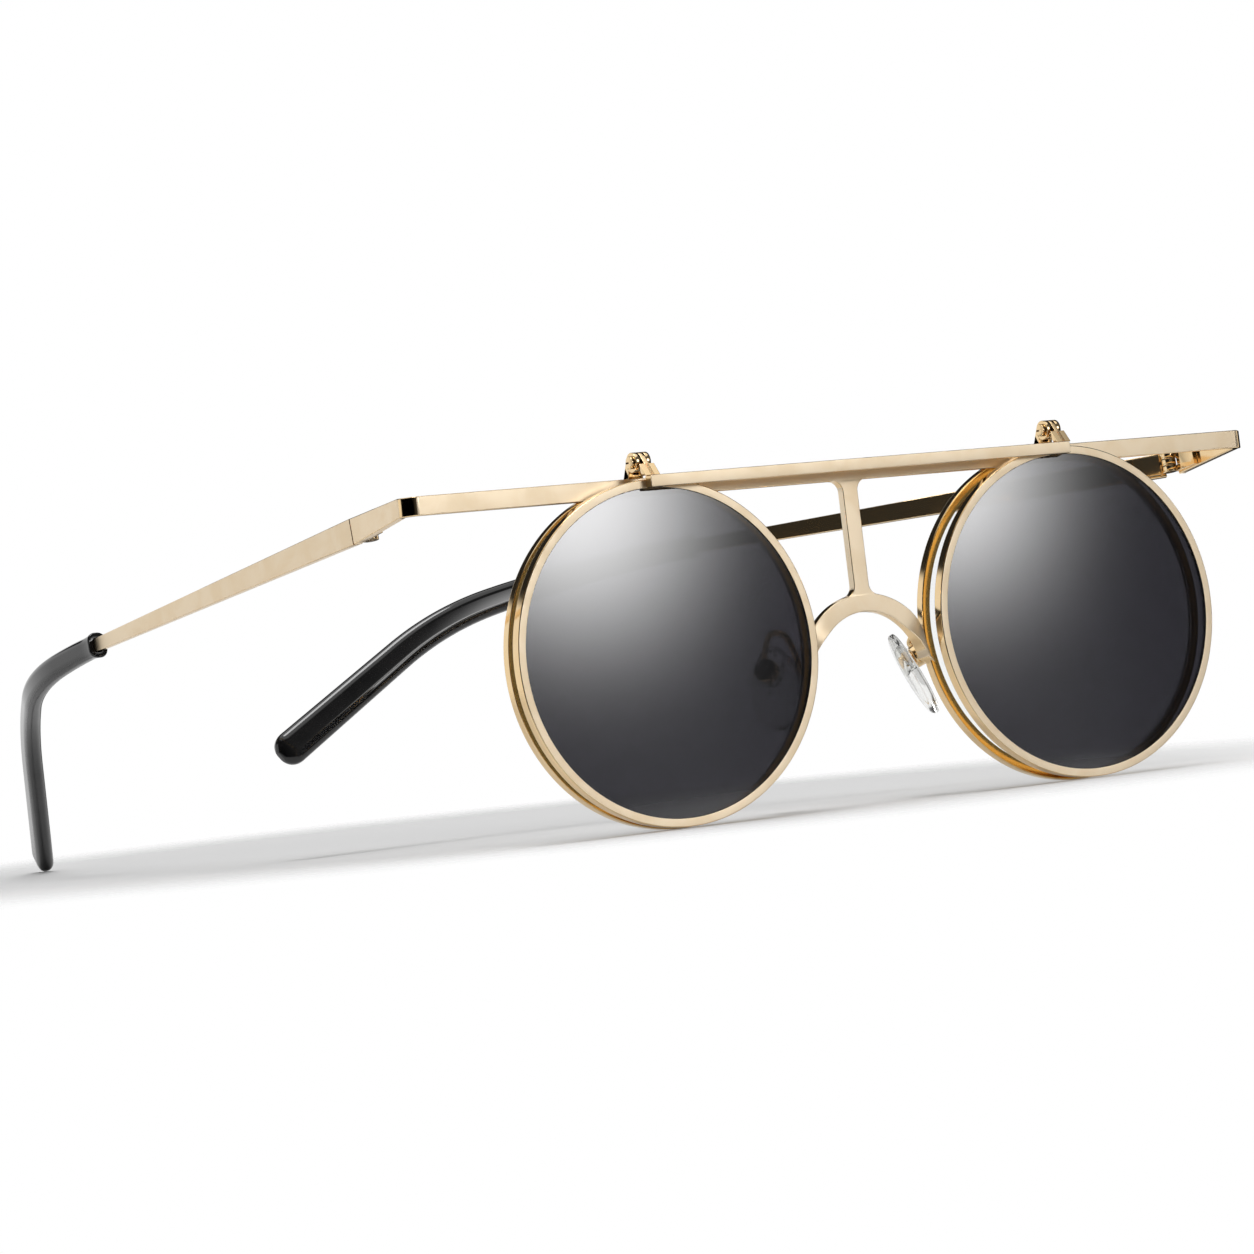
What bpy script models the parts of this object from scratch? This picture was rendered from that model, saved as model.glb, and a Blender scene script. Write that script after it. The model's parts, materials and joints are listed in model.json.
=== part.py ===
"""Round flip-up glasses: a wire frame with clear lenses, and dark round lenses hinged on its brow bar.

Metres, +Z up. Every piece is built in the axes of the glasses: +X to the right of someone who faces
them, +Y back along the temples, heights measured from the centres of the lenses. The left temple is
open and the right one half folded. An empty called stand leans the whole pair back until the rear rims
and the open temple's tip share the floor.
"""

import math

import bmesh
import bpy
from mathutils import Matrix, Vector

# Lenses and rims
LENS_OPENING_RADIUS = 0.0230
REAR_RIM_TO_MIDDLE = 0.0100
REAR_RIM_FACE = 0.0013
REAR_RIM_DEPTH = 0.0015
FLIP_RIM_TO_MIDDLE = 0.0107
FLIP_RIM_FACE = 0.0012
FLIP_RIM_DEPTH = 0.0017
FLIP_TO_REAR_GAP = 0.0020
RIM_CHAMFER = 0.00018
GROOVE_DEPTH = 0.00055
GROOVE_HALF_WIDTH = 0.00045
REAR_LENS_THICKNESS = 0.0012
DARK_LENS_THICKNESS = 0.0014
LENS_BULGE = 0.0010

# Brow bar and its end pieces, one bent strip
BAR_PAST_RIM = 0.0134
BAR_THICKNESS = 0.0013
BAR_HEIGHT = 0.00265
BAR_BELOW_RIM_TOP = 0.0023
BAR_LAP = 0.0004
BAR_CORNER_RADIUS = 0.0020
END_PIECE_LENGTH = 0.0162
END_PIECE_HEIGHT = 0.0037
STRIP_CHAMFER = 0.00015

# Nose bridge
STRUT_HALF_WIDTH = 0.00127
STRUT_THICKNESS = 0.0014
STRUT_FILLET_RADIUS = 0.0016
ARCH_PAST_RIM = 0.0002
ARCH_TOP_Z = 0.0044
ARCH_HEIGHT = 0.0026
ARCH_END_HEIGHT = 0.0015
ARCH_END_THICKNESS = 0.0019
ARCH_TWIST = math.radians(48)
ARCH_HALF_ANGLE = math.radians(88)
ARCH_FLAT_SHARE = 0.45

# Nose pads and their arms
PAD_WIDTH = 0.0080
PAD_HEIGHT = 0.0134
PAD_FRONT_THICKNESS = 0.0013
PAD_BACK_THICKNESS = 0.0007
PAD_TAPER_SHARE = 0.16
PAD_FRONTAL_ANGLE = math.radians(12)
PAD_VERTICAL_ANGLE = math.radians(27)
PAD_SPLAY_ANGLE = math.radians(33)
CUP_BESIDE_RIM = 0.0034
CUP_BEHIND_RIM = 0.0060
CUP_BELOW_CENTRE = 0.0037
CUP_RADIUS = 0.00165
CUP_LENGTH = 0.0014
CUP_WALL = 0.00035
CUP_ABOVE_PAD_CENTRE = 0.0021
PAD_ROCK = math.radians(10)
INSERT_RADIUS = 0.0020
INSERT_THICKNESS = 0.0005
BOSS_RADIUS = 0.00085
PAD_ARM_RADIUS = 0.00042
PAD_ARM_FOOT_ANGLE = math.radians(-11)
PAD_ARM_RISE = 0.0013
PAD_ARM_REACH = 0.0024

# Flip-up front
FLIP_BAR_PAST_CENTRE = 0.0009
FLIP_BAR_HEIGHT = 0.0017
FLIP_BAR_THICKNESS = 0.00155

# Flip hinges
FLIP_HINGE_FROM_BAR_END = 0.0007
FLIP_PIVOT_BEFORE_BAR = 0.0010
FLIP_PIVOT_ABOVE_BAR = 0.00215
FLIP_KNUCKLE_RADIUS = 0.0017
FLIP_HINGE_WIDTH = 0.0040
FLIP_KNUCKLES = 5
FLIP_LEG_THICKNESS = 0.0008
FLIP_BASE_TANGENT = math.radians(25)
FLIP_LEAF_TANGENT = math.radians(35)
FLIP_SCREW_RADIUS = 0.0006
FLIP_SCREW_HEAD_RADIUS = 0.0011

# Temples
TEMPLE_HINGE_INSET = 0.0028
TEMPLE_HINGE_BELOW_BAR_TOP = 0.00295
TEMPLE_DROOP = math.radians(6.9)
TEMPLE_SPLAY = math.radians(5.4)
TEMPLE_STRAIGHT = 0.0732
TEMPLE_EASE_LENGTH = 0.0398
TEMPLE_EASE_ANGLE = math.radians(14.3)
TEMPLE_BEND_RADIUS = 0.0102
TEMPLE_BEND_ANGLE = math.radians(19.3)
TEMPLE_DROP = 0.0314
TEMPLE_CURL_AFTER_MOUTH = 0.0122
TEMPLE_CURL_EASE = 0.0172
TEMPLE_CURL_ANGLE = math.radians(23.4)
LEFT_TEMPLE_FOLD = 0.0
RIGHT_TEMPLE_FOLD = math.radians(67.9)
TEMPLE_MOUTH_HEIGHT = 0.0020
TEMPLE_MOUTH_THICKNESS = 0.0010
CORE_HEIGHT = 0.0015
CORE_THICKNESS = 0.0008
CORE_END_MARGIN = 0.0100
SLEEVE_HEIGHT = 0.0034
SLEEVE_THICKNESS = 0.0027
SLEEVE_TIP_HEIGHT = 0.0051
SLEEVE_TIP_THICKNESS = 0.0028
SLEEVE_CHAMFER_SHARE = 0.24
COLLAR_LENGTH = 0.0030
COLLAR_FLARE = 0.00015
COLLAR_RECESS = 0.0025
COLLAR_WALL = 0.00055
SLEEVE_END_LENGTH = 0.0024

# Temple hinges
HINGE_KNUCKLE_RADIUS = 0.00115
HINGE_HEIGHT = 0.0030
HINGE_KNUCKLES = 3
HINGE_PLATE_LENGTH = 0.0052
HINGE_PLATE_THICKNESS = 0.0007
HINGE_SCREW_RADIUS = 0.00055
HINGE_SCREW_HEAD_RADIUS = 0.00095

# Clearances
SOLDER_GAP = 0.00005
RUNNING_GAP = 0.00005
KNUCKLE_GAP = 0.0001
SEAM_GAP = 0.0003
CUT_OVERRUN = 0.0010
STRUT_INSET = 0.00002
WELD = 0.000001

# Screw heads
HEAD_THICKNESS = 0.00035
SLOT_WIDTH = 0.00025
SLOT_DEPTH = 0.00018

# Counts and shares
RIM_SEGMENTS = 48
KNUCKLE_SEGMENTS = 24
BORE_SEGMENTS = 16
CORNER_STEPS = 6
ARCH_STEPS = 26
TEMPLE_STEPS = (1, 9, 4, 5)
LENS_RINGS = 2
FILLET_STEPS = 4
COLLAR_STEPS = 3
END_STEPS = 4
LEVEL_STEPS = 40
TANGENT_STEPS = 50
PAD_ARM_STEPS = 3
ARCH_LANDING_SHARE = 0.2
SLOT_SHARE = 0.6
FLIP_FOOT_SHARE = 0.75
FOOT_FLARE_SHARE = 1.3
END_ROUND_SHARE = 0.8

# Sides and turns
SIDES = ((-1, "left"), (1, "right"))
REST_FOLDS = {"left": LEFT_TEMPLE_FOLD, "right": RIGHT_TEMPLE_FOLD}
FACE_FRONT = Matrix.Rotation(math.pi / 2, 4, "X")
AXIS_ALONG_X = Matrix(((0, 0, 1, 0), (1, 0, 0, 0), (0, 1, 0, 0), (0, 0, 0, 1)))
HEAD_OTHER_WAY = Matrix.Rotation(math.pi, 4, "X")
TURN_Z_TO_X = Matrix.Rotation(math.pi / 2, 3, "Y")

# Sizes that follow from the ones above
REAR_RIM_FRONT_Y = FLIP_RIM_DEPTH + FLIP_TO_REAR_GAP
REAR_RIM_CENTRE_Y = REAR_RIM_FRONT_Y + REAR_RIM_DEPTH / 2
REAR_RIM_BACK_Y = REAR_RIM_FRONT_Y + REAR_RIM_DEPTH
REAR_RIM_OUTER = LENS_OPENING_RADIUS + REAR_RIM_FACE
REAR_RIM_CENTRE_X = REAR_RIM_TO_MIDDLE + REAR_RIM_OUTER
FLIP_RIM_CENTRE_X = FLIP_RIM_TO_MIDDLE + LENS_OPENING_RADIUS + FLIP_RIM_FACE
FRAME_HALF_WIDTH = REAR_RIM_CENTRE_X + REAR_RIM_OUTER + BAR_PAST_RIM
BAR_FRONT_Y = REAR_RIM_FRONT_Y - BAR_LAP
BAR_BOTTOM_Z = REAR_RIM_OUTER - BAR_BELOW_RIM_TOP
BAR_TOP_Z = BAR_BOTTOM_Z + BAR_HEIGHT
ARCH_CENTRE_RADIUS = REAR_RIM_TO_MIDDLE + ARCH_PAST_RIM
CUP_X = REAR_RIM_TO_MIDDLE + CUP_BESIDE_RIM
CUP_Y = REAR_RIM_BACK_Y + CUP_BEHIND_RIM
FLIP_BAR_TOP_Z = BAR_TOP_Z
FLIP_BAR_HALF_LENGTH = FLIP_RIM_CENTRE_X + FLIP_BAR_PAST_CENTRE
FLIP_HINGE_X = FLIP_BAR_HALF_LENGTH - FLIP_HINGE_FROM_BAR_END
FLIP_PIVOT_Y = BAR_FRONT_Y - FLIP_PIVOT_BEFORE_BAR
FLIP_PIVOT_Z = BAR_TOP_Z + FLIP_PIVOT_ABOVE_BAR
TEMPLE_HINGE_X = FRAME_HALF_WIDTH - TEMPLE_HINGE_INSET
TEMPLE_HINGE_Y = BAR_FRONT_Y + END_PIECE_LENGTH
TEMPLE_HINGE_Z = BAR_TOP_Z - TEMPLE_HINGE_BELOW_BAR_TOP
TEMPLE_STRIP_X = FRAME_HALF_WIDTH - TEMPLE_HINGE_X - BAR_THICKNESS / 2
TEMPLE_STRETCHES = (
    (TEMPLE_STRAIGHT, 0.0),
    (TEMPLE_EASE_LENGTH, TEMPLE_EASE_ANGLE),
    (TEMPLE_BEND_RADIUS * TEMPLE_BEND_ANGLE, TEMPLE_BEND_ANGLE),
    (TEMPLE_DROP, 0.0),
)
TEMPLE_LENGTH = sum(stretch for stretch, _ in TEMPLE_STRETCHES)
TEMPLE_TO_SLEEVE = TEMPLE_STRAIGHT
CURL_START = TEMPLE_TO_SLEEVE + TEMPLE_CURL_AFTER_MOUTH

# Colours, linear
GOLD = (0.86, 0.66, 0.46)
ACETATE = (0.006, 0.006, 0.007)
DARK_GLASS = (0.035, 0.035, 0.04)
CLEAR_GLASS = (0.95, 0.97, 0.97)
SILICONE = (0.9, 0.9, 0.88)
SHARP_EDGE = math.radians(35)


def new_collection(name):
    collection = bpy.data.collections.new(name)
    bpy.context.scene.collection.children.link(collection)
    return collection


def new_material(name, colour, roughness, metallic=0.0, alpha=1.0):
    material = bpy.data.materials.new(name)
    material.use_nodes = True
    shader = material.node_tree.nodes["Principled BSDF"]
    shader.inputs["Base Color"].default_value = (*colour, 1)
    shader.inputs["Roughness"].default_value = roughness
    shader.inputs["Metallic"].default_value = metallic
    shader.inputs["Alpha"].default_value = alpha
    return material


def link(name, mesh, parent, collection, matrix):
    obj = bpy.data.objects.new(name, mesh)
    collection.objects.link(obj)
    obj.parent = parent
    obj.location = matrix.translation
    obj.rotation_euler = matrix.to_euler()
    return obj


def add_piece(name, mesh, parent, material, matrix=Matrix()):
    """One named solid of the glasses, with its own copy of the material."""
    obj = link(name, mesh, parent, PARTS, matrix)
    own = material.copy()
    own.name = name + "_material"
    mesh.materials.append(own)
    mesh.shade_smooth()
    mesh.set_sharp_from_angle(angle=SHARP_EDGE)
    return obj


def combine(target, operation, mesh, matrix=Matrix()):
    """Cuts the mesh from the target, or joins it on, in the target's own axes."""
    name = target.name + "_" + operation.lower()
    helper = link(name, mesh, target.parent, CUTTERS, target.matrix_basis @ matrix)
    helper.hide_render = True
    helper.display_type = "WIRE"
    modifier = target.modifiers.new(operation.title(), "BOOLEAN")
    modifier.operation = operation
    modifier.solver = "EXACT"
    modifier.object = helper


def add_empty(name, parent, location, turn=Matrix.Identity(3)):
    empty = bpy.data.objects.new(name, None)
    PARTS.objects.link(empty)
    empty.parent = parent
    empty.location = location
    empty.rotation_euler = turn.to_euler()
    return empty


def shift(x=0.0, y=0.0, z=0.0):
    return Matrix.Translation((x, y, z))


def mesh_from(bm, name="shape"):
    bmesh.ops.recalc_face_normals(bm, faces=bm.faces)
    mesh = bpy.data.meshes.new(name)
    bm.to_mesh(mesh)
    bm.free()
    return mesh


def box_mesh(low, high):
    bm = bmesh.new()
    bmesh.ops.create_cube(bm, size=1)
    for vertex in bm.verts:
        for axis in range(3):
            vertex.co[axis] = high[axis] if vertex.co[axis] > 0 else low[axis]
    return mesh_from(bm)


def rods_mesh(rods, segments):
    """Cylinders along the local Z axis, one for each (radius, low, high), as one mesh."""
    bm = bmesh.new()
    for radius, low, high in rods:
        bmesh.ops.create_cone(
            bm,
            cap_ends=True,
            segments=segments,
            radius1=radius,
            radius2=radius,
            depth=high - low,
            matrix=shift(z=(low + high) / 2),
        )
    return mesh_from(bm)


def plate_mesh(outline, thickness):
    """A flat outline in local X and Y, with half the thickness on each side of it."""
    curve = bpy.data.curves.new("outline", "CURVE")
    curve.dimensions = "2D"
    curve.fill_mode = "BOTH"
    curve.extrude = thickness / 2
    spline = curve.splines.new("POLY")
    spline.points.add(len(outline) - 1)
    spline.use_cyclic_u = True
    for point, (x, y) in zip(spline.points, outline):
        point.co = (x, y, 0, 1)
    guide = bpy.data.objects.new("outline", curve)
    mesh = mesh_of_curve(guide)
    return mesh


def wire_mesh(points, radius):
    """A round wire with filled ends along the points."""
    curve = bpy.data.curves.new("wire", "CURVE")
    curve.dimensions = "3D"
    curve.bevel_depth = radius
    curve.bevel_resolution = 2
    curve.use_fill_caps = True
    spline = curve.splines.new("POLY")
    spline.points.add(len(points) - 1)
    for point, place in zip(spline.points, points):
        point.co = (*place, 1)
    return mesh_of_curve(bpy.data.objects.new("wire", curve))


def mesh_of_curve(guide):
    CUTTERS.objects.link(guide)
    bpy.context.view_layer.update()
    evaluated = guide.evaluated_get(bpy.context.evaluated_depsgraph_get())
    mesh = bpy.data.meshes.new_from_object(evaluated)
    bpy.data.objects.remove(guide)
    bm = bmesh.new()
    bm.from_mesh(mesh)
    bmesh.ops.remove_doubles(bm, verts=bm.verts, dist=WELD)
    bpy.data.meshes.remove(mesh)
    return mesh_from(bm)


def turned_piece(name, profile, closed, parent, material, centre):
    """A profile of (radius, height) pairs turned about the Y axis of the glasses, its height to the front."""
    mesh = bpy.data.meshes.new(name)
    count = len(profile)
    edges = [(i, (i + 1) % count) for i in range(count if closed else count - 1)]
    mesh.from_pydata([(radius, 0, height) for radius, height in profile], edges, [])
    obj = add_piece(name, mesh, parent, material, shift(*centre) @ FACE_FRONT)
    turn = obj.modifiers.new("Turn", "SCREW")
    turn.steps = RIM_SEGMENTS
    turn.render_steps = RIM_SEGMENTS
    turn.use_merge_vertices = True
    turn.merge_threshold = WELD
    turn.use_smooth_shade = True
    return obj


def loft_mesh(sections):
    """A solid through closed rings of points, all with as many points, capped at both ends."""
    bm = bmesh.new()
    rings = [[bm.verts.new(point) for point in section] for section in sections]
    for ring, following in zip(rings, rings[1:]):
        for i in range(len(ring)):
            j = (i + 1) % len(ring)
            bm.faces.new((ring[i], ring[j], following[j], following[i]))
    bm.faces.new(reversed(rings[0]))
    bm.faces.new(rings[-1])
    return mesh_from(bm)


def chamfered_ring(centre, across, upward, width, height, chamfer):
    """Eight points of a rectangle with cut corners; across and upward are unit vectors."""
    w = width / 2
    h = height / 2
    corners = ((w, h - chamfer), (w - chamfer, h), (chamfer - w, h), (-w, h - chamfer))
    half = [(a, b) for a, b in corners]
    around = half + [(-a, -b) for a, b in half]
    return [centre + across * a + upward * b for a, b in around]


def arc(centre_x, centre_y, radius, start, end, steps):
    angles = [start + (end - start) * i / steps for i in range(steps + 1)]
    return [(centre_x + radius * math.cos(a), centre_y + radius * math.sin(a)) for a in angles]


def rim_profile(face, depth):
    """Down the outer side of the rim's section and back up its inner side, past the lens groove."""
    outer = LENS_OPENING_RADIUS + face
    half = depth / 2
    return [
        (outer - RIM_CHAMFER, half),
        (outer, half - RIM_CHAMFER),
        (outer, RIM_CHAMFER - half),
        (outer - RIM_CHAMFER, -half),
        (LENS_OPENING_RADIUS, -half),
        (LENS_OPENING_RADIUS, -GROOVE_HALF_WIDTH),
        (LENS_OPENING_RADIUS + GROOVE_DEPTH, 0),
        (LENS_OPENING_RADIUS, GROOVE_HALF_WIDTH),
        (LENS_OPENING_RADIUS, half),
    ]


def lens_profile(thickness):
    """A thin lens that bulges to the front, with a bevelled edge that sits in the rim's groove."""
    edge = LENS_OPENING_RADIUS - RUNNING_GAP
    tip = LENS_OPENING_RADIUS + GROOVE_DEPTH - 2 * RUNNING_GAP
    bevel = GROOVE_HALF_WIDTH - RUNNING_GAP
    half = thickness / 2

    def bulge(share):
        return LENS_BULGE * (1 - share * share)

    shares = [i / LENS_RINGS for i in range(LENS_RINGS + 1)]
    front = [(edge * share, half + bulge(share)) for share in shares]
    back = [(edge * share, bulge(share) - half) for share in reversed(shares)]
    return front + [(edge, bevel), (tip, 0), (edge, -bevel)] + back


def bar_section(x, y, inward, share, lean=0.0):
    """The strip's section at a place on its outer line; share goes from the front (0) to the hinge seam (1)."""
    height = BAR_HEIGHT + (END_PIECE_HEIGHT - BAR_HEIGHT) * share
    front_z = BAR_BOTTOM_Z + BAR_HEIGHT / 2
    centre_z = front_z + (TEMPLE_HINGE_Z - front_z) * share
    centre = Vector((x, y, centre_z)) + inward * (BAR_THICKNESS / 2)
    upward = Vector((0, math.tan(lean), 1))
    return chamfered_ring(centre, inward, upward, BAR_THICKNESS, height, STRIP_CHAMFER)


def half_bar(side):
    """Sections from the hinge seam forward, round the corner and in to the middle of the front."""
    seam_y = TEMPLE_HINGE_Y - SEAM_GAP / 2
    corner_y = BAR_FRONT_Y + BAR_CORNER_RADIUS
    corner_x = FRAME_HALF_WIDTH - BAR_CORNER_RADIUS
    inward = Vector((-side, 0, 0))
    sections = []
    for i in range(CORNER_STEPS + 1):
        y = seam_y + (corner_y - seam_y) * i / CORNER_STEPS
        share = (y - corner_y) / (seam_y - corner_y)
        lean = TEMPLE_DROOP if i == 0 else 0.0
        sections.append(bar_section(side * FRAME_HALF_WIDTH, y, inward, share, lean))
    for i in range(1, CORNER_STEPS + 1):
        angle = math.pi / 2 * i / CORNER_STEPS
        outward = Vector((side * math.cos(angle), -math.sin(angle), 0))
        place = Vector((side * corner_x, corner_y, 0)) + outward * BAR_CORNER_RADIUS
        sections.append(bar_section(place.x, place.y, -outward, 0))
    return sections


def build_brow_bar(stand):
    """One strip: flat across the front, bent back at both ends, with a half lap over each rear rim."""
    sections = half_bar(-1) + list(reversed([mirror_ring(ring) for ring in half_bar(-1)]))
    bar = add_piece("brow_bar", loft_mesh(sections), stand, MATERIALS["gold"])
    notch_rod = (REAR_RIM_OUTER + SOLDER_GAP, -REAR_RIM_DEPTH - CUT_OVERRUN, SOLDER_GAP)
    notch = rods_mesh([notch_rod], RIM_SEGMENTS)
    for side, _ in SIDES:
        at_rim = shift(side * REAR_RIM_CENTRE_X, REAR_RIM_FRONT_Y) @ FACE_FRONT
        combine(bar, "DIFFERENCE", notch.copy(), at_rim)


def mirror_ring(ring):
    return [Vector((-point.x, point.y, point.z)) for point in ring]


def strut_outline():
    """The strut of the T in X and Z, flared by fillets where it meets the brow bar and the arch."""
    top = BAR_BOTTOM_Z - SOLDER_GAP
    arch_top = ARCH_TOP_Z + ARCH_HEIGHT / 2 - STRUT_FILLET_RADIUS * ARCH_LANDING_SHARE
    reach = STRUT_HALF_WIDTH + STRUT_FILLET_RADIUS
    radius = STRUT_FILLET_RADIUS
    upper = arc(reach, top - radius, radius, math.pi / 2, math.pi, FILLET_STEPS)
    lower = arc(reach, arch_top + radius, radius, math.pi, math.pi * 3 / 2, FILLET_STEPS)
    right = upper + lower + [(reach, ARCH_TOP_Z)]
    return right + [(-x, z) for x, z in reversed(right)]


def arch_section(angle):
    """The arch's section at an angle from its top: flat-faced in the middle, narrow and twisted at the rims."""
    along = abs(angle) / ARCH_HALF_ANGLE
    share = max(0.0, (along - ARCH_FLAT_SHARE) / (1 - ARCH_FLAT_SHARE))
    share = share * share * (3 - 2 * share)
    centre_z = ARCH_TOP_Z - ARCH_CENTRE_RADIUS
    centre_y = BAR_FRONT_Y + STRUT_THICKNESS / 2
    centre_y += (REAR_RIM_CENTRE_Y - centre_y) * share
    radial = Vector((math.sin(angle), 0, math.cos(angle)))
    centre = Vector((0, centre_y, centre_z)) + radial * ARCH_CENTRE_RADIUS
    back = Vector((0, 1, 0))
    twist = ARCH_TWIST * share
    upward = radial * math.cos(twist) + back * math.sin(twist)
    across = back * math.cos(twist) - radial * math.sin(twist)
    height = ARCH_HEIGHT + (ARCH_END_HEIGHT - ARCH_HEIGHT) * share
    thickness = STRUT_THICKNESS + (ARCH_END_THICKNESS - STRUT_THICKNESS) * share
    return chamfered_ring(centre, across, upward, thickness, height, STRIP_CHAMFER)


def build_bridge(stand):
    """The T of the nose: a strut from the brow bar, joined to an arch whose ends stop against the rims."""
    angles = [ARCH_HALF_ANGLE * (2 * i / ARCH_STEPS - 1) for i in range(ARCH_STEPS + 1)]
    bridge = add_piece("nose_bridge", loft_mesh([arch_section(a) for a in angles]), stand, MATERIALS["gold"])
    strut = plate_mesh(strut_outline(), STRUT_THICKNESS - STRUT_INSET * 2)
    combine(bridge, "UNION", strut, shift(y=BAR_FRONT_Y + STRUT_THICKNESS / 2) @ FACE_FRONT)
    reach = STRUT_THICKNESS + REAR_RIM_DEPTH + CUT_OVERRUN
    rim = rods_mesh([(REAR_RIM_OUTER + SOLDER_GAP, -reach, reach)], RIM_SEGMENTS)
    for side, _ in SIDES:
        at_rim = shift(side * REAR_RIM_CENTRE_X, REAR_RIM_CENTRE_Y) @ FACE_FRONT
        combine(bridge, "DIFFERENCE", rim.copy(), at_rim)


def pad_axes(side):
    """Axes of a nose pad: X to the nose, Y across the pad, Z up its length."""
    upward = Vector((-side * math.tan(PAD_FRONTAL_ANGLE), math.tan(PAD_VERTICAL_ANGLE), 1)).normalized()
    facing = Vector((-side * math.cos(PAD_SPLAY_ANGLE), math.sin(PAD_SPLAY_ANGLE), 0))
    facing = (facing - upward * facing.dot(upward)).normalized()
    return Matrix((facing, upward.cross(facing), upward)).transposed()


def smooth_path(knots, steps):
    """A Catmull-Rom curve through the knots."""
    ends = [knots[0] * 2 - knots[1]] + knots + [knots[-1] * 2 - knots[-2]]
    path = []
    for a, b, c, d in zip(ends, ends[1:], ends[2:], ends[3:]):
        for i in range(steps):
            t = i / steps
            squared = (a * 2 - b * 5 + c * 4 - d) * t**2
            cubed = (b * 3 - a - c * 3 + d) * t**3
            path.append((b * 2 + (c - a) * t + squared + cubed) / 2)
    return path + [knots[-1]]


def build_pad(side, label, stand):
    """Arm with its cup, then the clear pad and its insert, which rock together in the cup."""
    axes = pad_axes(side)
    facing, upward = axes.col[0], axes.col[2]
    cup_centre = Vector((side * CUP_X, CUP_Y, -CUP_BELOW_CENTRE))
    foot_radius = LENS_OPENING_RADIUS + REAR_RIM_FACE / 2
    foot_x = side * (REAR_RIM_CENTRE_X - foot_radius * math.cos(PAD_ARM_FOOT_ANGLE))
    foot_y = REAR_RIM_BACK_Y + SOLDER_GAP
    foot_z = foot_radius * math.sin(PAD_ARM_FOOT_ANGLE)
    middle_y = (foot_y + CUP_Y) / 2
    knots = [
        Vector((foot_x, foot_y, foot_z)),
        Vector((foot_x, foot_y + PAD_ARM_RADIUS * 2, foot_z + PAD_ARM_RADIUS)),
        Vector(((foot_x + side * CUP_X) / 2, middle_y - PAD_ARM_REACH / 2, PAD_ARM_RISE / 2)),
        Vector((side * CUP_X, middle_y + PAD_ARM_REACH / 2, PAD_ARM_RISE)),
        cup_centre + upward * (CUP_RADIUS + PAD_ARM_RADIUS) + Vector((0, 0, PAD_ARM_RADIUS)),
        cup_centre + upward * (CUP_RADIUS - CUP_WALL / 2),
    ]
    wire = wire_mesh(smooth_path(knots, PAD_ARM_STEPS), PAD_ARM_RADIUS)
    arm = add_piece("pad_arm_" + label, wire, stand, MATERIALS["gold"])
    to_cup = Matrix.Translation(cup_centre) @ (axes @ TURN_Z_TO_X).to_4x4()
    cup = [(CUP_RADIUS, -CUP_LENGTH / 2, CUP_LENGTH / 2)]
    combine(arm, "UNION", rods_mesh(cup, KNUCKLE_SEGMENTS), to_cup)
    bore = [(CUP_RADIUS - CUP_WALL, CUP_WALL - CUP_LENGTH / 2, CUP_LENGTH / 2 + CUT_OVERRUN)]
    combine(arm, "DIFFERENCE", rods_mesh(bore, KNUCKLE_SEGMENTS), to_cup)

    pivot = add_empty("nose_pad_pivot_" + label, stand, cup_centre)
    rock_room = CUP_RADIUS * math.tan(PAD_ROCK) + RUNNING_GAP
    back_face = CUP_LENGTH / 2 + rock_room
    pad_place = facing * (back_face + PAD_BACK_THICKNESS) - upward * CUP_ABOVE_PAD_CENTRE
    pad_matrix = Matrix.Translation(pad_place) @ axes.to_4x4()
    pad = add_piece("nose_pad_" + label, pad_mesh(), pivot, MATERIALS["silicone"], pad_matrix)
    at_cup = (axes @ TURN_Z_TO_X).to_4x4()
    insert_low = back_face
    insert_high = back_face + INSERT_THICKNESS
    recess = [(INSERT_RADIUS + RUNNING_GAP, -CUT_OVERRUN, insert_high + RUNNING_GAP)]
    combine(pad, "DIFFERENCE", rods_mesh(recess, KNUCKLE_SEGMENTS), pad.matrix_basis.inverted() @ at_cup)
    insert = add_piece(
        "pad_insert_" + label,
        rods_mesh([(INSERT_RADIUS, insert_low, insert_high)], KNUCKLE_SEGMENTS),
        pivot,
        MATERIALS["gold"],
        at_cup,
    )
    boss = [(BOSS_RADIUS, 0, (insert_low + insert_high) / 2)]
    combine(insert, "UNION", rods_mesh(boss, BORE_SEGMENTS))


def pad_mesh():
    """A teardrop pad from a squashed sphere: crowned to the nose, nearly flat behind, wider below."""
    bm = bmesh.new()
    bmesh.ops.create_uvsphere(bm, u_segments=16, v_segments=10, radius=1)
    for vertex in bm.verts:
        x, y, z = vertex.co
        width = PAD_WIDTH / 2 * (1 - PAD_TAPER_SHARE * z)
        thickness = PAD_FRONT_THICKNESS if x > 0 else PAD_BACK_THICKNESS
        crown = math.copysign(math.sqrt(abs(x)), x)
        vertex.co = (thickness * crown, y * width, z * PAD_HEIGHT / 2)
    return mesh_from(bm)


def knuckle_spans(length, count, owner):
    """The owner's knuckles, every second one, as (low, high) along the pin."""
    pitch = (length + KNUCKLE_GAP) / count
    low = -length / 2
    return [(low + i * pitch, low + (i + 1) * pitch - KNUCKLE_GAP) for i in range(owner, count, 2)]


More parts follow.
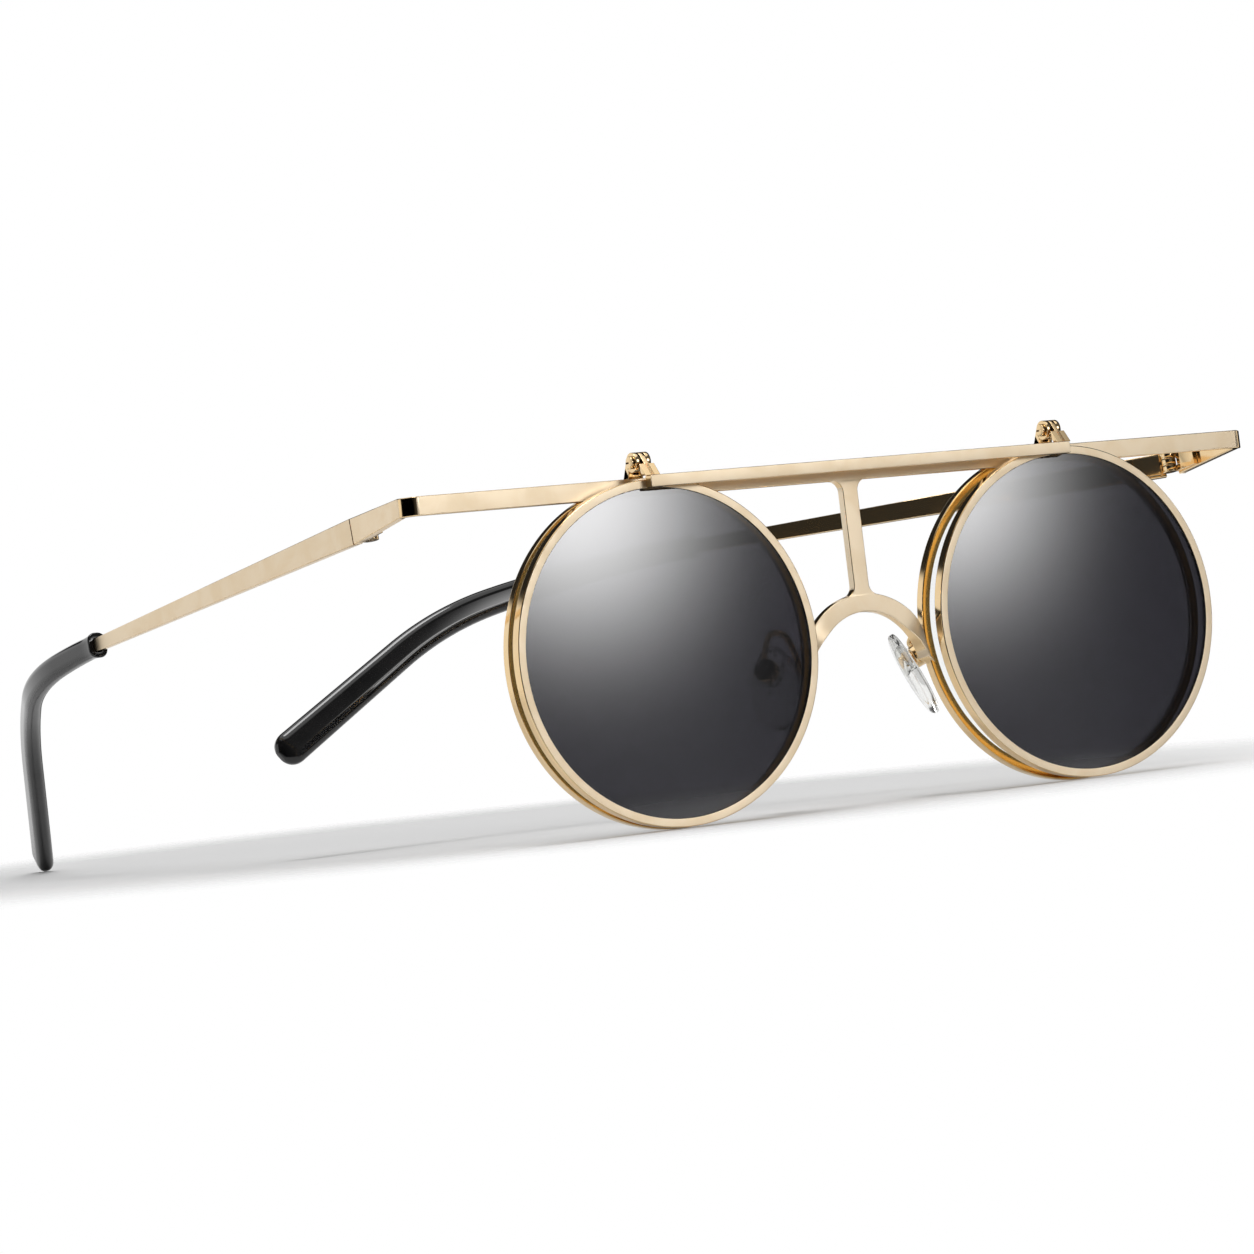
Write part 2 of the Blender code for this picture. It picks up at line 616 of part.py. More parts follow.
def hinge_leaf(name, outline, parent, matrix, owner, radius, length, count, pin_radius):
    """A plate with its own knuckles and bore, cut away where the other leaf's knuckles turn."""
    leaf = add_piece(name, plate_mesh(outline, length), parent, MATERIALS["gold"], matrix)
    room = KNUCKLE_GAP * SLOT_SHARE
    others = knuckle_spans(length, count, 1 - owner)
    slots = [(radius + KNUCKLE_GAP, low - room, high + room) for low, high in others]
    combine(leaf, "DIFFERENCE", rods_mesh(slots, KNUCKLE_SEGMENTS))
    own = [(radius, low, high) for low, high in knuckle_spans(length, count, owner)]
    combine(leaf, "UNION", rods_mesh(own, KNUCKLE_SEGMENTS))
    reach = length / 2 + CUT_OVERRUN
    combine(leaf, "DIFFERENCE", rods_mesh([(pin_radius + RUNNING_GAP, -reach, reach)], BORE_SEGMENTS))
    return leaf


def hinge_screw(name, parent, matrix, radius, head_radius, length):
    """A shoulder screw along local Z, its slotted head at the positive end."""
    low = -length / 2
    seat = length / 2 + RUNNING_GAP
    shaft = rods_mesh([(radius, low, seat + HEAD_THICKNESS / 2)], BORE_SEGMENTS)
    screw = add_piece(name, shaft, parent, MATERIALS["gold"], matrix)
    head = rods_mesh([(head_radius, seat, seat + HEAD_THICKNESS)], KNUCKLE_SEGMENTS)
    combine(screw, "UNION", head)
    top = seat + HEAD_THICKNESS
    slot = box_mesh(
        (-head_radius - CUT_OVERRUN, -SLOT_WIDTH / 2, top - SLOT_DEPTH),
        (head_radius + CUT_OVERRUN, SLOT_WIDTH / 2, top + CUT_OVERRUN),
    )
    combine(screw, "DIFFERENCE", slot)


def flip_leg_outline(foot_y, foot_width, foot_z, tangent_angle):
    """Side view of a leg in (back, up) about the pivot: from its foot, tangent to the outside of the barrel."""
    direction = math.copysign(1, foot_y)
    touch = Vector((math.cos(tangent_angle) * direction, math.sin(tangent_angle))) * FLIP_KNUCKLE_RADIUS
    inner = touch * (1 - FLIP_LEG_THICKNESS / FLIP_KNUCKLE_RADIUS)
    return [
        (foot_y, foot_z),
        (touch.x, touch.y),
        (inner.x, inner.y),
        (foot_y - direction * foot_width, foot_z),
    ]


def build_flip_hinge(side, label, stand, flip_pivot):
    """Base leaf on the brow bar, moving leaf on the flip bar, and the screw that is their axis."""
    place = Vector((side * FLIP_HINGE_X, FLIP_PIVOT_Y, FLIP_PIVOT_Z))
    sizes = (FLIP_KNUCKLE_RADIUS, FLIP_HINGE_WIDTH, FLIP_KNUCKLES, FLIP_SCREW_RADIUS)
    on_stand = Matrix.Translation(place) @ AXIS_ALONG_X
    on_pivot = shift(side * FLIP_HINGE_X) @ AXIS_ALONG_X
    foot_z = BAR_TOP_Z + SOLDER_GAP - FLIP_PIVOT_Z
    rear_foot_y = BAR_FRONT_Y + BAR_THICKNESS + FLIP_LEG_THICKNESS / 2 - FLIP_PIVOT_Y
    base = flip_leg_outline(rear_foot_y, FLIP_LEG_THICKNESS * 2, foot_z, FLIP_BASE_TANGENT)
    hinge_leaf("flip_hinge_base_" + label, base, stand, on_stand, 0, *sizes)
    front_foot_y = -FLIP_BAR_THICKNESS * FLIP_FOOT_SHARE - FLIP_PIVOT_Y
    front_foot_z = FLIP_BAR_TOP_Z + SOLDER_GAP - FLIP_PIVOT_Z
    leaf = flip_leg_outline(front_foot_y, FLIP_LEG_THICKNESS * FOOT_FLARE_SHARE, front_foot_z, FLIP_LEAF_TANGENT)
    hinge_leaf("flip_hinge_leaf_" + label, leaf, flip_pivot, on_pivot, 1, *sizes)
    hinge_screw(
        "flip_hinge_screw_" + label,
        stand,
        on_stand @ HEAD_OTHER_WAY,
        FLIP_SCREW_RADIUS,
        FLIP_SCREW_HEAD_RADIUS,
        FLIP_HINGE_WIDTH,
    )


def build_flip_front(flip_pivot):
    """The bar and the two dark round lenses that turn up together."""
    bar_low = (-FLIP_BAR_HALF_LENGTH, -SOLDER_GAP - FLIP_BAR_THICKNESS, FLIP_BAR_TOP_Z - FLIP_BAR_HEIGHT)
    bar_high = (FLIP_BAR_HALF_LENGTH, -SOLDER_GAP, FLIP_BAR_TOP_Z)
    to_pivot = shift(0, -FLIP_PIVOT_Y, -FLIP_PIVOT_Z)
    bar = add_piece("flip_bar", box_mesh(bar_low, bar_high), flip_pivot, MATERIALS["gold"], to_pivot)
    edges = bar.modifiers.new("Edges", "BEVEL")
    edges.width = STRIP_CHAMFER
    edges.segments = 1
    for side, label in SIDES:
        centre = (side * FLIP_RIM_CENTRE_X, FLIP_RIM_DEPTH / 2 - FLIP_PIVOT_Y, -FLIP_PIVOT_Z)
        profile = rim_profile(FLIP_RIM_FACE, FLIP_RIM_DEPTH)
        turned_piece("flip_rim_" + label, profile, True, flip_pivot, MATERIALS["gold"], centre)
        lens = lens_profile(DARK_LENS_THICKNESS)
        turned_piece("dark_lens_" + label, lens, False, flip_pivot, MATERIALS["dark_glass"], centre)


def build_rear_lenses(stand):
    for side, label in SIDES:
        centre = (side * REAR_RIM_CENTRE_X, REAR_RIM_CENTRE_Y, 0)
        profile = rim_profile(REAR_RIM_FACE, REAR_RIM_DEPTH)
        turned_piece("rear_rim_" + label, profile, True, stand, MATERIALS["gold"], centre)
        lens = lens_profile(REAR_LENS_THICKNESS)
        turned_piece("rear_lens_" + label, lens, False, stand, MATERIALS["clear_glass"], centre)


def temple_point(length, side):
    """A place on the temple's centre line at a length from the hinge, in the hinge's axes."""
    back = up = turned = walked = 0.0
    for i, (stretch, turn) in enumerate(TEMPLE_STRETCHES):
        last = i + 1 == len(TEMPLE_STRETCHES)
        part = length - walked if last else min(length - walked, stretch)
        bend = turn * part / stretch
        chord = part * math.sin(bend / 2) / (bend / 2) if bend else part
        heading = turned + bend / 2
        back += chord * math.cos(heading)
        up -= chord * math.sin(heading)
        turned += bend
        walked += part
        if length <= walked:
            break
    past = max(0.0, length - CURL_START)
    eased = min(past, TEMPLE_CURL_EASE)
    curled = math.tan(TEMPLE_CURL_ANGLE) * (eased * eased / (2 * TEMPLE_CURL_EASE) + past - eased)
    outward = TEMPLE_STRIP_X + math.tan(TEMPLE_SPLAY) * length - curled
    return Vector((side * outward, back, up))


def temple_ring(length, side, thickness, height, chamfer):
    step = WELD * TANGENT_STEPS
    tangent = (temple_point(length + step, side) - temple_point(length - step, side)).normalized()
    outward = Vector((1, 0, 0))
    outward = (outward - tangent * outward.dot(tangent)).normalized()
    upward = outward.cross(tangent)
    return chamfered_ring(temple_point(length, side), outward, upward, thickness, height, chamfer)


def between(start, end, share):
    return start + (end - start) * share


def bend_lengths(start, end):
    """Lengths along the temple from start to end, closer together round the bend."""
    lengths = []
    walked = 0.0
    for (stretch, _), steps in zip(TEMPLE_STRETCHES, TEMPLE_STEPS):
        lengths += [walked + stretch * i / steps for i in range(1, steps + 1)]
        walked += stretch
    margin = STRIP_CHAMFER
    return [start] + [length for length in lengths if start + margin < length < end - margin] + [end]


def build_temple(side, label, stand):
    """Gold strip, black sleeve and hinge leaf of one temple, which fold about the empty on the hinge axis."""
    place = (side * TEMPLE_HINGE_X, TEMPLE_HINGE_Y, TEMPLE_HINGE_Z)
    fold = Matrix.Rotation(side * REST_FOLDS[label], 3, "Z")
    turn = Matrix.Rotation(-TEMPLE_DROOP, 3, "X") @ fold
    pivot = add_empty("temple_pivot_" + label, stand, place, turn)
    recess_end = TEMPLE_TO_SLEEVE + COLLAR_RECESS
    core_start = recess_end + RUNNING_GAP
    core_end = TEMPLE_LENGTH - CORE_END_MARGIN
    strip = [
        temple_ring(SEAM_GAP / 2, side, BAR_THICKNESS, END_PIECE_HEIGHT, STRIP_CHAMFER),
        temple_ring(TEMPLE_TO_SLEEVE, side, TEMPLE_MOUTH_THICKNESS, TEMPLE_MOUTH_HEIGHT, STRIP_CHAMFER),
        temple_ring(recess_end - SEAM_GAP, side, TEMPLE_MOUTH_THICKNESS, TEMPLE_MOUTH_HEIGHT, STRIP_CHAMFER),
    ]
    strip += [
        temple_ring(length, side, CORE_THICKNESS, CORE_HEIGHT, STRIP_CHAMFER)
        for length in bend_lengths(core_start, core_end)
    ]
    add_piece("temple_" + label, loft_mesh(strip), pivot, MATERIALS["gold"])

    sleeve = add_piece("temple_tip_" + label, loft_mesh(sleeve_sections(side)), pivot, MATERIALS["acetate"])
    mouth_thickness = SLEEVE_THICKNESS + COLLAR_FLARE * 2 - COLLAR_WALL * 2
    mouth_height = SLEEVE_HEIGHT + COLLAR_FLARE * 2 - COLLAR_WALL * 2
    gap = RUNNING_GAP * 2
    hollow = [
        temple_ring(TEMPLE_TO_SLEEVE - SEAM_GAP, side, mouth_thickness, mouth_height, STRIP_CHAMFER),
        temple_ring(recess_end, side, TEMPLE_MOUTH_THICKNESS + gap, TEMPLE_MOUTH_HEIGHT + gap, STRIP_CHAMFER),
    ]
    hollow += [
        temple_ring(length, side, CORE_THICKNESS + gap, CORE_HEIGHT + gap, STRIP_CHAMFER)
        for length in bend_lengths(core_start + SEAM_GAP, core_end + SEAM_GAP)
    ]
    combine(sleeve, "DIFFERENCE", loft_mesh(hollow))
    build_temple_hinge(side, label, stand, pivot)


def sleeve_sections(side):
    """The acetate sleeve: a flared collar, an even stretch to the bend, then a flat paddle with a round end."""
    sections = []
    end = TEMPLE_LENGTH - SLEEVE_END_LENGTH
    collar_end = TEMPLE_TO_SLEEVE + COLLAR_LENGTH
    for i in range(COLLAR_STEPS + 1):
        share = i / COLLAR_STEPS
        flare = COLLAR_FLARE * 2 * (1 - share) ** 2
        length = between(TEMPLE_TO_SLEEVE, collar_end, share)
        width, height = SLEEVE_THICKNESS + flare, SLEEVE_HEIGHT + flare
        sections.append(temple_ring(length, side, width, height, width * SLEEVE_CHAMFER_SHARE))
    for length in bend_lengths(collar_end, end)[1:]:
        share = max(0.0, (length - collar_end) / (end - collar_end))
        width = between(SLEEVE_THICKNESS, SLEEVE_TIP_THICKNESS, share)
        height = between(SLEEVE_HEIGHT, SLEEVE_TIP_HEIGHT, share)
        sections.append(temple_ring(length, side, width, height, width * SLEEVE_CHAMFER_SHARE))
    for i in range(1, END_STEPS + 1):
        angle = math.pi / 2 * i / END_STEPS * END_ROUND_SHARE
        length = end + SLEEVE_END_LENGTH * math.sin(angle)
        width = SLEEVE_TIP_THICKNESS * math.cos(angle)
        height = SLEEVE_TIP_HEIGHT - SLEEVE_END_LENGTH * 2 * (1 - math.cos(angle))
        sections.append(temple_ring(length, side, width, height, width * SLEEVE_CHAMFER_SHARE))
    return sections


def build_temple_hinge(side, label, stand, pivot):
    """Plates on the inner faces of the end piece and the strip, with three knuckles and a screw."""
    inner_x = TEMPLE_STRIP_X - BAR_THICKNESS / 2 - SOLDER_GAP
    plate_x = inner_x - HINGE_PLATE_THICKNESS
    slope = math.tan(TEMPLE_SPLAY)
    start = SEAM_GAP / 2
    end = HINGE_PLATE_LENGTH
    sizes = (HINGE_KNUCKLE_RADIUS, HINGE_HEIGHT, HINGE_KNUCKLES, HINGE_SCREW_RADIUS)
    moving = [
        (side * (plate_x + slope * start), start),
        (side * (inner_x + slope * start), start),
        (side * (inner_x + slope * end), end),
        (side * (plate_x + slope * end), end),
    ]
    fixed = [(side * plate_x, -start), (side * inner_x, -start), (side * inner_x, -end), (side * plate_x, -end)]
    hinge_matrix = Matrix.Translation(pivot.location) @ Matrix.Rotation(-TEMPLE_DROOP, 4, "X")
    hinge_leaf("temple_hinge_" + label, moving, pivot, Matrix(), 1, *sizes)
    hinge_leaf("endpiece_hinge_" + label, fixed, stand, hinge_matrix, 0, *sizes)
    hinge_screw(
        "temple_hinge_screw_" + label,
        stand,
        hinge_matrix,
        HINGE_SCREW_RADIUS,
        HINGE_SCREW_HEAD_RADIUS,
        HINGE_HEIGHT,
    )


def points_of(names, matrix):
    """The finished vertices of the named pieces, taken from the world into the given axes."""
    graph = bpy.context.evaluated_depsgraph_get()
    points = []
    for name in names:
        evaluated = bpy.data.objects[name].evaluated_get(graph)
        to_axes = matrix @ evaluated.matrix_world
        mesh = evaluated.to_mesh()
        points += [to_axes @ vertex.co for vertex in mesh.vertices]
        evaluated.to_mesh_clear()
    return points


def lowest_when_leant(points, lean):
    return min(point.z * math.cos(lean) - point.y * math.sin(lean) for point in points)


def stand_on_floor(stand):
    """Leans the glasses back until rims and open tip are level, and puts the origin under their middle."""
    bpy.context.view_layer.update()
    rims = points_of(["rear_rim_" + label for _, label in SIDES], Matrix())
    tips = points_of(["temple_tip_" + label for _, label in SIDES], Matrix())
    low, high = 0.0, math.pi / 8
    for _ in range(LEVEL_STEPS):
        lean = (low + high) / 2
        if lowest_when_leant(tips, lean) > lowest_when_leant(rims, lean):
            low = lean
        else:
            high = lean
    stand.rotation_euler.x = -lean
    bpy.context.view_layer.update()
    nodes = [obj.name for obj in PARTS.objects if obj.type == "MESH"]
    corners = points_of(nodes, Matrix())
    for axis in range(3):
        lowest = min(point[axis] for point in corners)
        highest = max(point[axis] for point in corners)
        stand.location[axis] = -lowest if axis == 2 else -(lowest + highest) / 2
    bpy.context.view_layer.update()


for old in list(bpy.data.objects):
    bpy.data.objects.remove(old)
PARTS = new_collection("round_flip_up_glasses")
CUTTERS = new_collection("cutters")
CUTTERS.hide_render = True
MATERIALS = {
    "gold": new_material("gold", GOLD, 0.12, metallic=1.0),
    "acetate": new_material("acetate", ACETATE, 0.12),
    "dark_glass": new_material("dark_glass", DARK_GLASS, 0.05, alpha=0.9),
    "clear_glass": new_material("clear_glass", CLEAR_GLASS, 0.03, alpha=0.15),
    "silicone": new_material("silicone", SILICONE, 0.15, alpha=0.35),
}


def main():
    stand = add_empty("stand", None, (0, 0, 0))
    flip_pivot = add_empty("flip_front_pivot", stand, (0, FLIP_PIVOT_Y, FLIP_PIVOT_Z))
    build_brow_bar(stand)
    build_bridge(stand)
    build_rear_lenses(stand)
    build_flip_front(flip_pivot)
    for side, label in SIDES:
        build_pad(side, label, stand)
        build_flip_hinge(side, label, stand, flip_pivot)
        build_temple(side, label, stand)
    stand_on_floor(stand)


main()
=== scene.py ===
"""Round flip-up glasses, dressed for a picture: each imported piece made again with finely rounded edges,
with its finish, on a pale stage.

Metres, +Z up. Pieces are drawn in the axes of the glasses, as they are worn: +X to the right of someone
who faces them, +Y back along the temples, heights from the centres of the lenses. The stand matrix
then leans them onto the floor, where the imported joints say.
"""

import json
import math
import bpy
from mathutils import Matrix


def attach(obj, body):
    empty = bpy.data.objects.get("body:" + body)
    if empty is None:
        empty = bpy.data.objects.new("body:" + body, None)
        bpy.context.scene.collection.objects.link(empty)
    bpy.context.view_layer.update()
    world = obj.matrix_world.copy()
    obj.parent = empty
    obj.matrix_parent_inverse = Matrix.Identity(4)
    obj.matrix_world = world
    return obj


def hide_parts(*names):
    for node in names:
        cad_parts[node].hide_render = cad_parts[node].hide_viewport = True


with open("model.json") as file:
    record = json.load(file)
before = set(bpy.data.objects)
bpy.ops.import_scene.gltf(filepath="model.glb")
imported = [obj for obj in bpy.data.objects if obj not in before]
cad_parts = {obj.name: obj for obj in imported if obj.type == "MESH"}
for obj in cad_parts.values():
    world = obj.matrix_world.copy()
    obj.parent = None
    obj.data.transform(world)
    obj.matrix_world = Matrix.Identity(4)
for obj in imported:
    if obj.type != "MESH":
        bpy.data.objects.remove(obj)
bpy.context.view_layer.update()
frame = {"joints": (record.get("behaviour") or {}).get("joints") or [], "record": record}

from types import SimpleNamespace

import bmesh
import bpy
from bpy.props import FloatProperty, FloatVectorProperty, PointerProperty
from mathutils import Matrix, Vector

bl_info = {
    "name": "Round flip-up glasses",
    "version": (1, 0, 0),
    "blender": (4, 5, 0),
    "location": "3D View > Sidebar > Glasses",
    "description": "Round wire glasses with dark lenses that flip up, piece by piece",
    "category": "Add Mesh",
}

SIDES = ((-1, "left"), (1, "right"))
SMALLEST_SIZE = 0.0001
BODY_OF = {node: body for body, nodes in frame["record"]["behaviour"]["bodies"].items() for node in nodes}
JOINTS = {joint["name"]: joint for joint in frame["joints"]}

# Rims and lenses
REAR_RIM_TO_MIDDLE = 0.0100
FLIP_RIM_TO_MIDDLE = 0.0107
FLIP_TO_REAR_GAP = 0.0020
RIM_ROUNDING = 0.00018
RIM_INNER_ROUNDING = 0.00007
RIM_SHARP_EDGE = math.radians(40)
GROOVE_DEPTH = 0.00055
GROOVE_HALF_WIDTH = 0.00045
REAR_LENS_THICKNESS = 0.0012
DARK_LENS_THICKNESS = 0.0014
LENS_BULGE = 0.0010
LENS_GAP = 0.00005
LENS_SHARP_EDGE = math.radians(20)

# Brow bar
BAR_PAST_RIM = 0.0134
BAR_LAP = 0.0004
BAR_BELOW_RIM_TOP = 0.0023
BAR_CORNER_CUT = 0.0017
BAR_CORNER_BEND = 0.00135
BAR_CORNER_TURN = math.pi / 4
END_PIECE_LENGTH = 0.0162
END_PIECE_HEIGHT = 0.0037
STRIP_ROUNDING = 0.00015

# Nose bridge
STRUT_HALF_WIDTH = 0.00127
STRUT_THICKNESS = 0.0014
STRUT_FILLET = 0.0016
STRUT_PROUD = 0.00001
FILLET_STEPS = 8
ARCH_PAST_RIM = 0.0002
ARCH_TOP = 0.0044
ARCH_HEIGHT = 0.0026
ARCH_END_HEIGHT = 0.0015
ARCH_END_THICKNESS = 0.0019
ARCH_TWIST = math.radians(48)
ARCH_HALF_ANGLE = math.radians(88)
ARCH_END_TAPER = math.radians(7)
ARCH_FLAT_SHARE = 0.45
ARCH_LANDING_SHARE = 0.2
ARCH_STEPS = 72
ARCH_END_STEPS = 8
ARCH_END_REACH = 0.10
ARCH_END_SINK = 0.0015
ARCH_END_SHRINK = 0.75
ARCH_END_POWER = 1.5

# Nose pads
PAD_FRONT_THICKNESS = 0.0013
PAD_BACK_THICKNESS = 0.0007
PAD_TAPER_SHARE = 0.16
PAD_FRONTAL_ANGLE = math.radians(12)
PAD_VERTICAL_ANGLE = math.radians(27)
PAD_SPLAY_ANGLE = math.radians(33)
PAD_ROCK = math.radians(10)
CUP_BESIDE_RIM = 0.0034
CUP_BEHIND_RIM = 0.0060
CUP_BELOW_CENTRE = 0.0037
CUP_RADIUS = 0.00165
CUP_LENGTH = 0.0014
CUP_WALL = 0.00035
CUP_ABOVE_PAD_CENTRE = 0.0021
INSERT_RADIUS = 0.0020
INSERT_THICKNESS = 0.0005
BOSS_RADIUS = 0.00085
ARM_RADIUS = 0.00042
ARM_FOOT_ANGLE = math.radians(-11)
ARM_RISE = 0.0013
ARM_REACH = 0.0024
PAD_SEGMENTS = (96, 64)
PAD_CROWN_POWER = 0.55
PAD_SMOOTHING = 0.5
ARM_STEPS = 12
ARM_SEGMENTS = 24
SOLDER_RADIUS_SHARE = 1.5
SOLDER_DEPTH_SHARE = 0.55
SOLDER_RINGS = 12
CUP_EDGE_ANGLE = 1.0

# Flip front
FLIP_BAR_PAST_CENTRE = 0.0009
FLIP_BAR_HEIGHT = 0.0017
FLIP_BAR_THICKNESS = 0.00155
FLIP_HINGE_FROM_BAR_END = 0.0007
FLIP_PIVOT_BEFORE_BAR = 0.0010
FLIP_PIVOT_ABOVE_BAR = 0.00215
FLIP_BARREL_RADIUS = 0.0014
FLIP_HINGE_WIDTH = 0.0024
FLIP_KNUCKLES = 3
FLIP_LEG_THICKNESS = 0.0007
FLIP_BASE_TANGENT = math.radians(25)
FLIP_LEAF_TANGENT = math.radians(35)
FLIP_SCREW_RADIUS = 0.0005
FLIP_SCREW_HEAD_RADIUS = 0.0009
FLIP_FOOT_SHARE = 0.75
FOOT_FLARE_SHARE = 1.3
FINGER_OUTER_SHARE = 0.6
FINGER_INNER_SHARE = 0.2

# Temples
TEMPLE_HINGE_INSET = 0.0028
TEMPLE_HINGE_BELOW_BAR_TOP = 0.00295
TEMPLE_DROOP = math.radians(6.9)
TEMPLE_SPLAY = math.radians(5.4)
TEMPLE_STRETCHES = (
    (0.0732, 0.0),
    (0.0330, math.radians(13.4)),
    (0.0166, math.radians(19.3)),
    (0.0247, 0.0),
)
TEMPLE_TO_SLEEVE = 0.0732
TEMPLE_LENGTH = sum(stretch for stretch, _ in TEMPLE_STRETCHES)
CURL_START = 0.0854
CURL_EASE = 0.0172
CURL_ANGLE = math.radians(23.4)
REST_FOLDS = {"left": 0.0, "right": math.radians(67.9)}
MOUTH_HEIGHT = 0.0020
MOUTH_THICKNESS = 0.0010
CORE_HEIGHT = 0.0015
CORE_THICKNESS = 0.0008
CORE_END_MARGIN = 0.0100
SLEEVE_CHAMFER_SHARE = 0.24
SLEEVE_EDGE_ROUNDING = 0.00045
SLEEVE_SHARP_EDGE = math.radians(50)
COLLAR_LENGTH = 0.0030
COLLAR_FLARE = 0.00024
COLLAR_RECESS = 0.0025
COLLAR_WALL = 0.00060
COLLAR_LIP = ((0.0, 0.00040), (0.00006, 0.00020), (0.00014, 0.00008), (0.00024, 0.00002))
SLEEVE_END_LENGTH = 0.0024
END_ROUND_SHARE = 0.8
END_STEPS = 12
MOUTH_FLOOR_SHARE = 0.9
STRIP_STEP = 0.003
CORE_STEP = 0.002
COLLAR_STEP = 0.0003
TANGENT_STEP = 0.00005
SEAM_GAP = 0.0003

# Temple hinges
HINGE_BARREL_RADIUS = 0.00115
HINGE_HEIGHT = 0.0030
HINGE_KNUCKLES = 3
HINGE_PLATE_LENGTH = 0.0052
HINGE_PLATE_THICKNESS = 0.0007
HINGE_SCREW_RADIUS = 0.00055
HINGE_SCREW_HEAD_RADIUS = 0.00095
KNUCKLE_GAP = 0.0001
SOLDER_GAP = 0.00005

# Screw heads
HEAD_THICKNESS = 0.00035
HEAD_ROUNDING = 0.00008
SLOT_WIDTH = 0.00025
SLOT_DEPTH = 0.00018

# Fineness
RIM_STEPS = 192
LENS_STEPS = 128
ARC_STEPS = 18
BEND_STEPS = 8
BARREL_STEPS = 48
SWEEP_STEP = 0.0008
FINE_ROUNDING = 0.00006
WELD = 0.0000005
SHARP_EDGE = math.radians(32)
EDGE_SEGMENTS = 2
CORNER_SEGMENTS = 3
RIM_SEGMENTS = 4
RIM_INNER_SEGMENTS = 2
FLAT_FACE_WEIGHT = 100

# How far a face's unit normal reaches along an axis, at the least, when the face looks that way
FACING_LIMIT = 0.9
BAR_FACING_LIMIT = 0.95
ARCH_FACING_LIMIT = 0.6

# Finishes. Gold is its colour, roughness where clean and where handled, depth of its scratches or grain,
# and scale of its grain.
GOLD_FINISHES = {
    "polished_gold": ("gold", 0.08, 0.12, 0.0000002),
    # A more orange copy of the gold for faces that look at other gold: its colour is painted reflection,
    # standing in for light bounced from gold to gold
    "deep_gold": ("deep_gold", 0.14, 0.18, 0.0000002),
    "satin_gold": ("satin", 0.40, 0.44, 0.0000004),
    "grained_gold": ("satin", 0.20, 0.42, 0.00004, 6000.0),
    "screw_gold": ("gold", 0.12, 0.20, 0.000001),
}
GRAIN_DETAIL = 4.0
HANDLED_GOLD = (0.98, 0.955, 0.91)
# Glass is its colour, index of refraction, roughness where clean and where handled, and its cloud.
GLASS_FINISHES = {
    "dark_glass": ("dark_lens", 2.1, 0.0, 0.003, 1.08),
    "clear_glass": ("clear_lens", 1.5, 0.0, 0.004, 0.99),
    "clear_silicone": ("silicone", 1.41, 0.04, 0.09, 0.97),
}
ACETATE_SHADER = {"IOR": 1.5, "Coat Weight": 0.3, "Coat Roughness": 0.03}
ACETATE_ROUGHNESS = (0.04, 0.08)
ACETATE_SCRATCH_DEPTH = 0.0000002
HANDLED_ACETATE = (2.2, 2.1, 2.0)
GOLD_SMUDGE_SCALE = 180.0
ACETATE_SMUDGE_SCALE = 120.0
GLASS_SMUDGE_SCALE = 90.0
SMUDGE_NOISE = (5.0, 0.6, 0.8)
SMUDGE_RANGE = (0.38, 0.66)
SCRATCH_SCALE = 2200.0
SCRATCH_DETAIL = 3.0
SCRATCH_RANGE = (0.58, 0.72)
SCRATCH_TURN = (0.5, 0.3, 0.9)
SCRATCH_STRETCH = (1.0, 0.06, 1.0)

# Camera, found from the rims, bars and temples in the picture
CAMERA_AZIMUTH = math.radians(30.92839)
CAMERA_ELEVATION = math.radians(-1.95381)
CAMERA_ROLL = math.radians(-6.81666)
CAMERA_DISTANCE = 0.682558
CAMERA_TARGET = Vector((-0.041497, 0.0, 0.004100))
PICTURE_WIDTH = 1254
FOCAL_LENGTH_IN_PIXELS = 4963.664
SENSOR_WIDTH = 36.0
CLIP_START = 0.01
CLIP_END = 100

# Stage
FLOOR_RADIUS = 0.20
FLOOR_FADE_MIDDLE = Vector((0.0, 0.02, 0.0))
FLOOR_FADE_START = 0.085
FLOOR_FADE_END = 0.155
FLOOR_STEPS = 96
FLOOR_CLOUD_SCALE = 3.0
FLOOR_CLOUD_DETAIL = 6.0
FLOOR_CLOUD = (0.985, 0.985, 0.985)
FLOOR_ROUGHNESS = (0.85, 0.95)
FLOOR_GLOSS = 0.1
LAMP_PLACE = Vector((-0.07, -0.1, 1.1))
LAMP_SIZE = 0.42
LAMP_POWER = 3.2

# The studio round the glasses. A round patch is its direction, inner and outer angle, and brightness or,
# among the dark ones, how much it takes away.
STUDIO_REST = 0.02
STUDIO_PANELS = (
    ((0.50, -0.85, 0.0), 40.0, 75.0, 0.11),
    ((-0.96, 0.26, 0.10), 18.0, 30.0, 0.9),
    ((1.0, 0.03, 0.10), 14.0, 26.0, 0.3),
)
STUDIO_DARK = (
    ((-0.40, -0.91, 0.0), 20.0, 35.0, 0.6),
    ((0.86, -0.50, 0.0), 12.0, 28.0, 1.0),
    ((-0.857, -0.515, 0.0), 14.0, 24.0, 1.0),
    ((0.80, 0.60, 0.0), 20.0, 30.0, 1.0),
)
SOFTBOX_AZIMUTH = math.radians(25.45)
SOFTBOX_ELEVATION = math.radians(15.1)
SOFTBOX_SPREAD = math.radians(9.5)
SOFTBOX_SHARPNESS = 2.4
SOFTBOX_STRENGTH = 6.5
BACK_DIRECTION = (0.51, 0.86, 0.0)
BACK_HALF_ANGLES = (68.0, 92.0)
BACK_TOP = (18.0, 22.0)
BACK_STRENGTH = 0.9
OVERHEAD_FROM = (48.0, 60.0)
OVERHEAD_STRENGTH = 1.1
TABLE_FROM = (-26.0, -12.0)
TABLE_STRENGTH = 0.75
SOFTBOX_LARGEST_COSINE = 0.999999

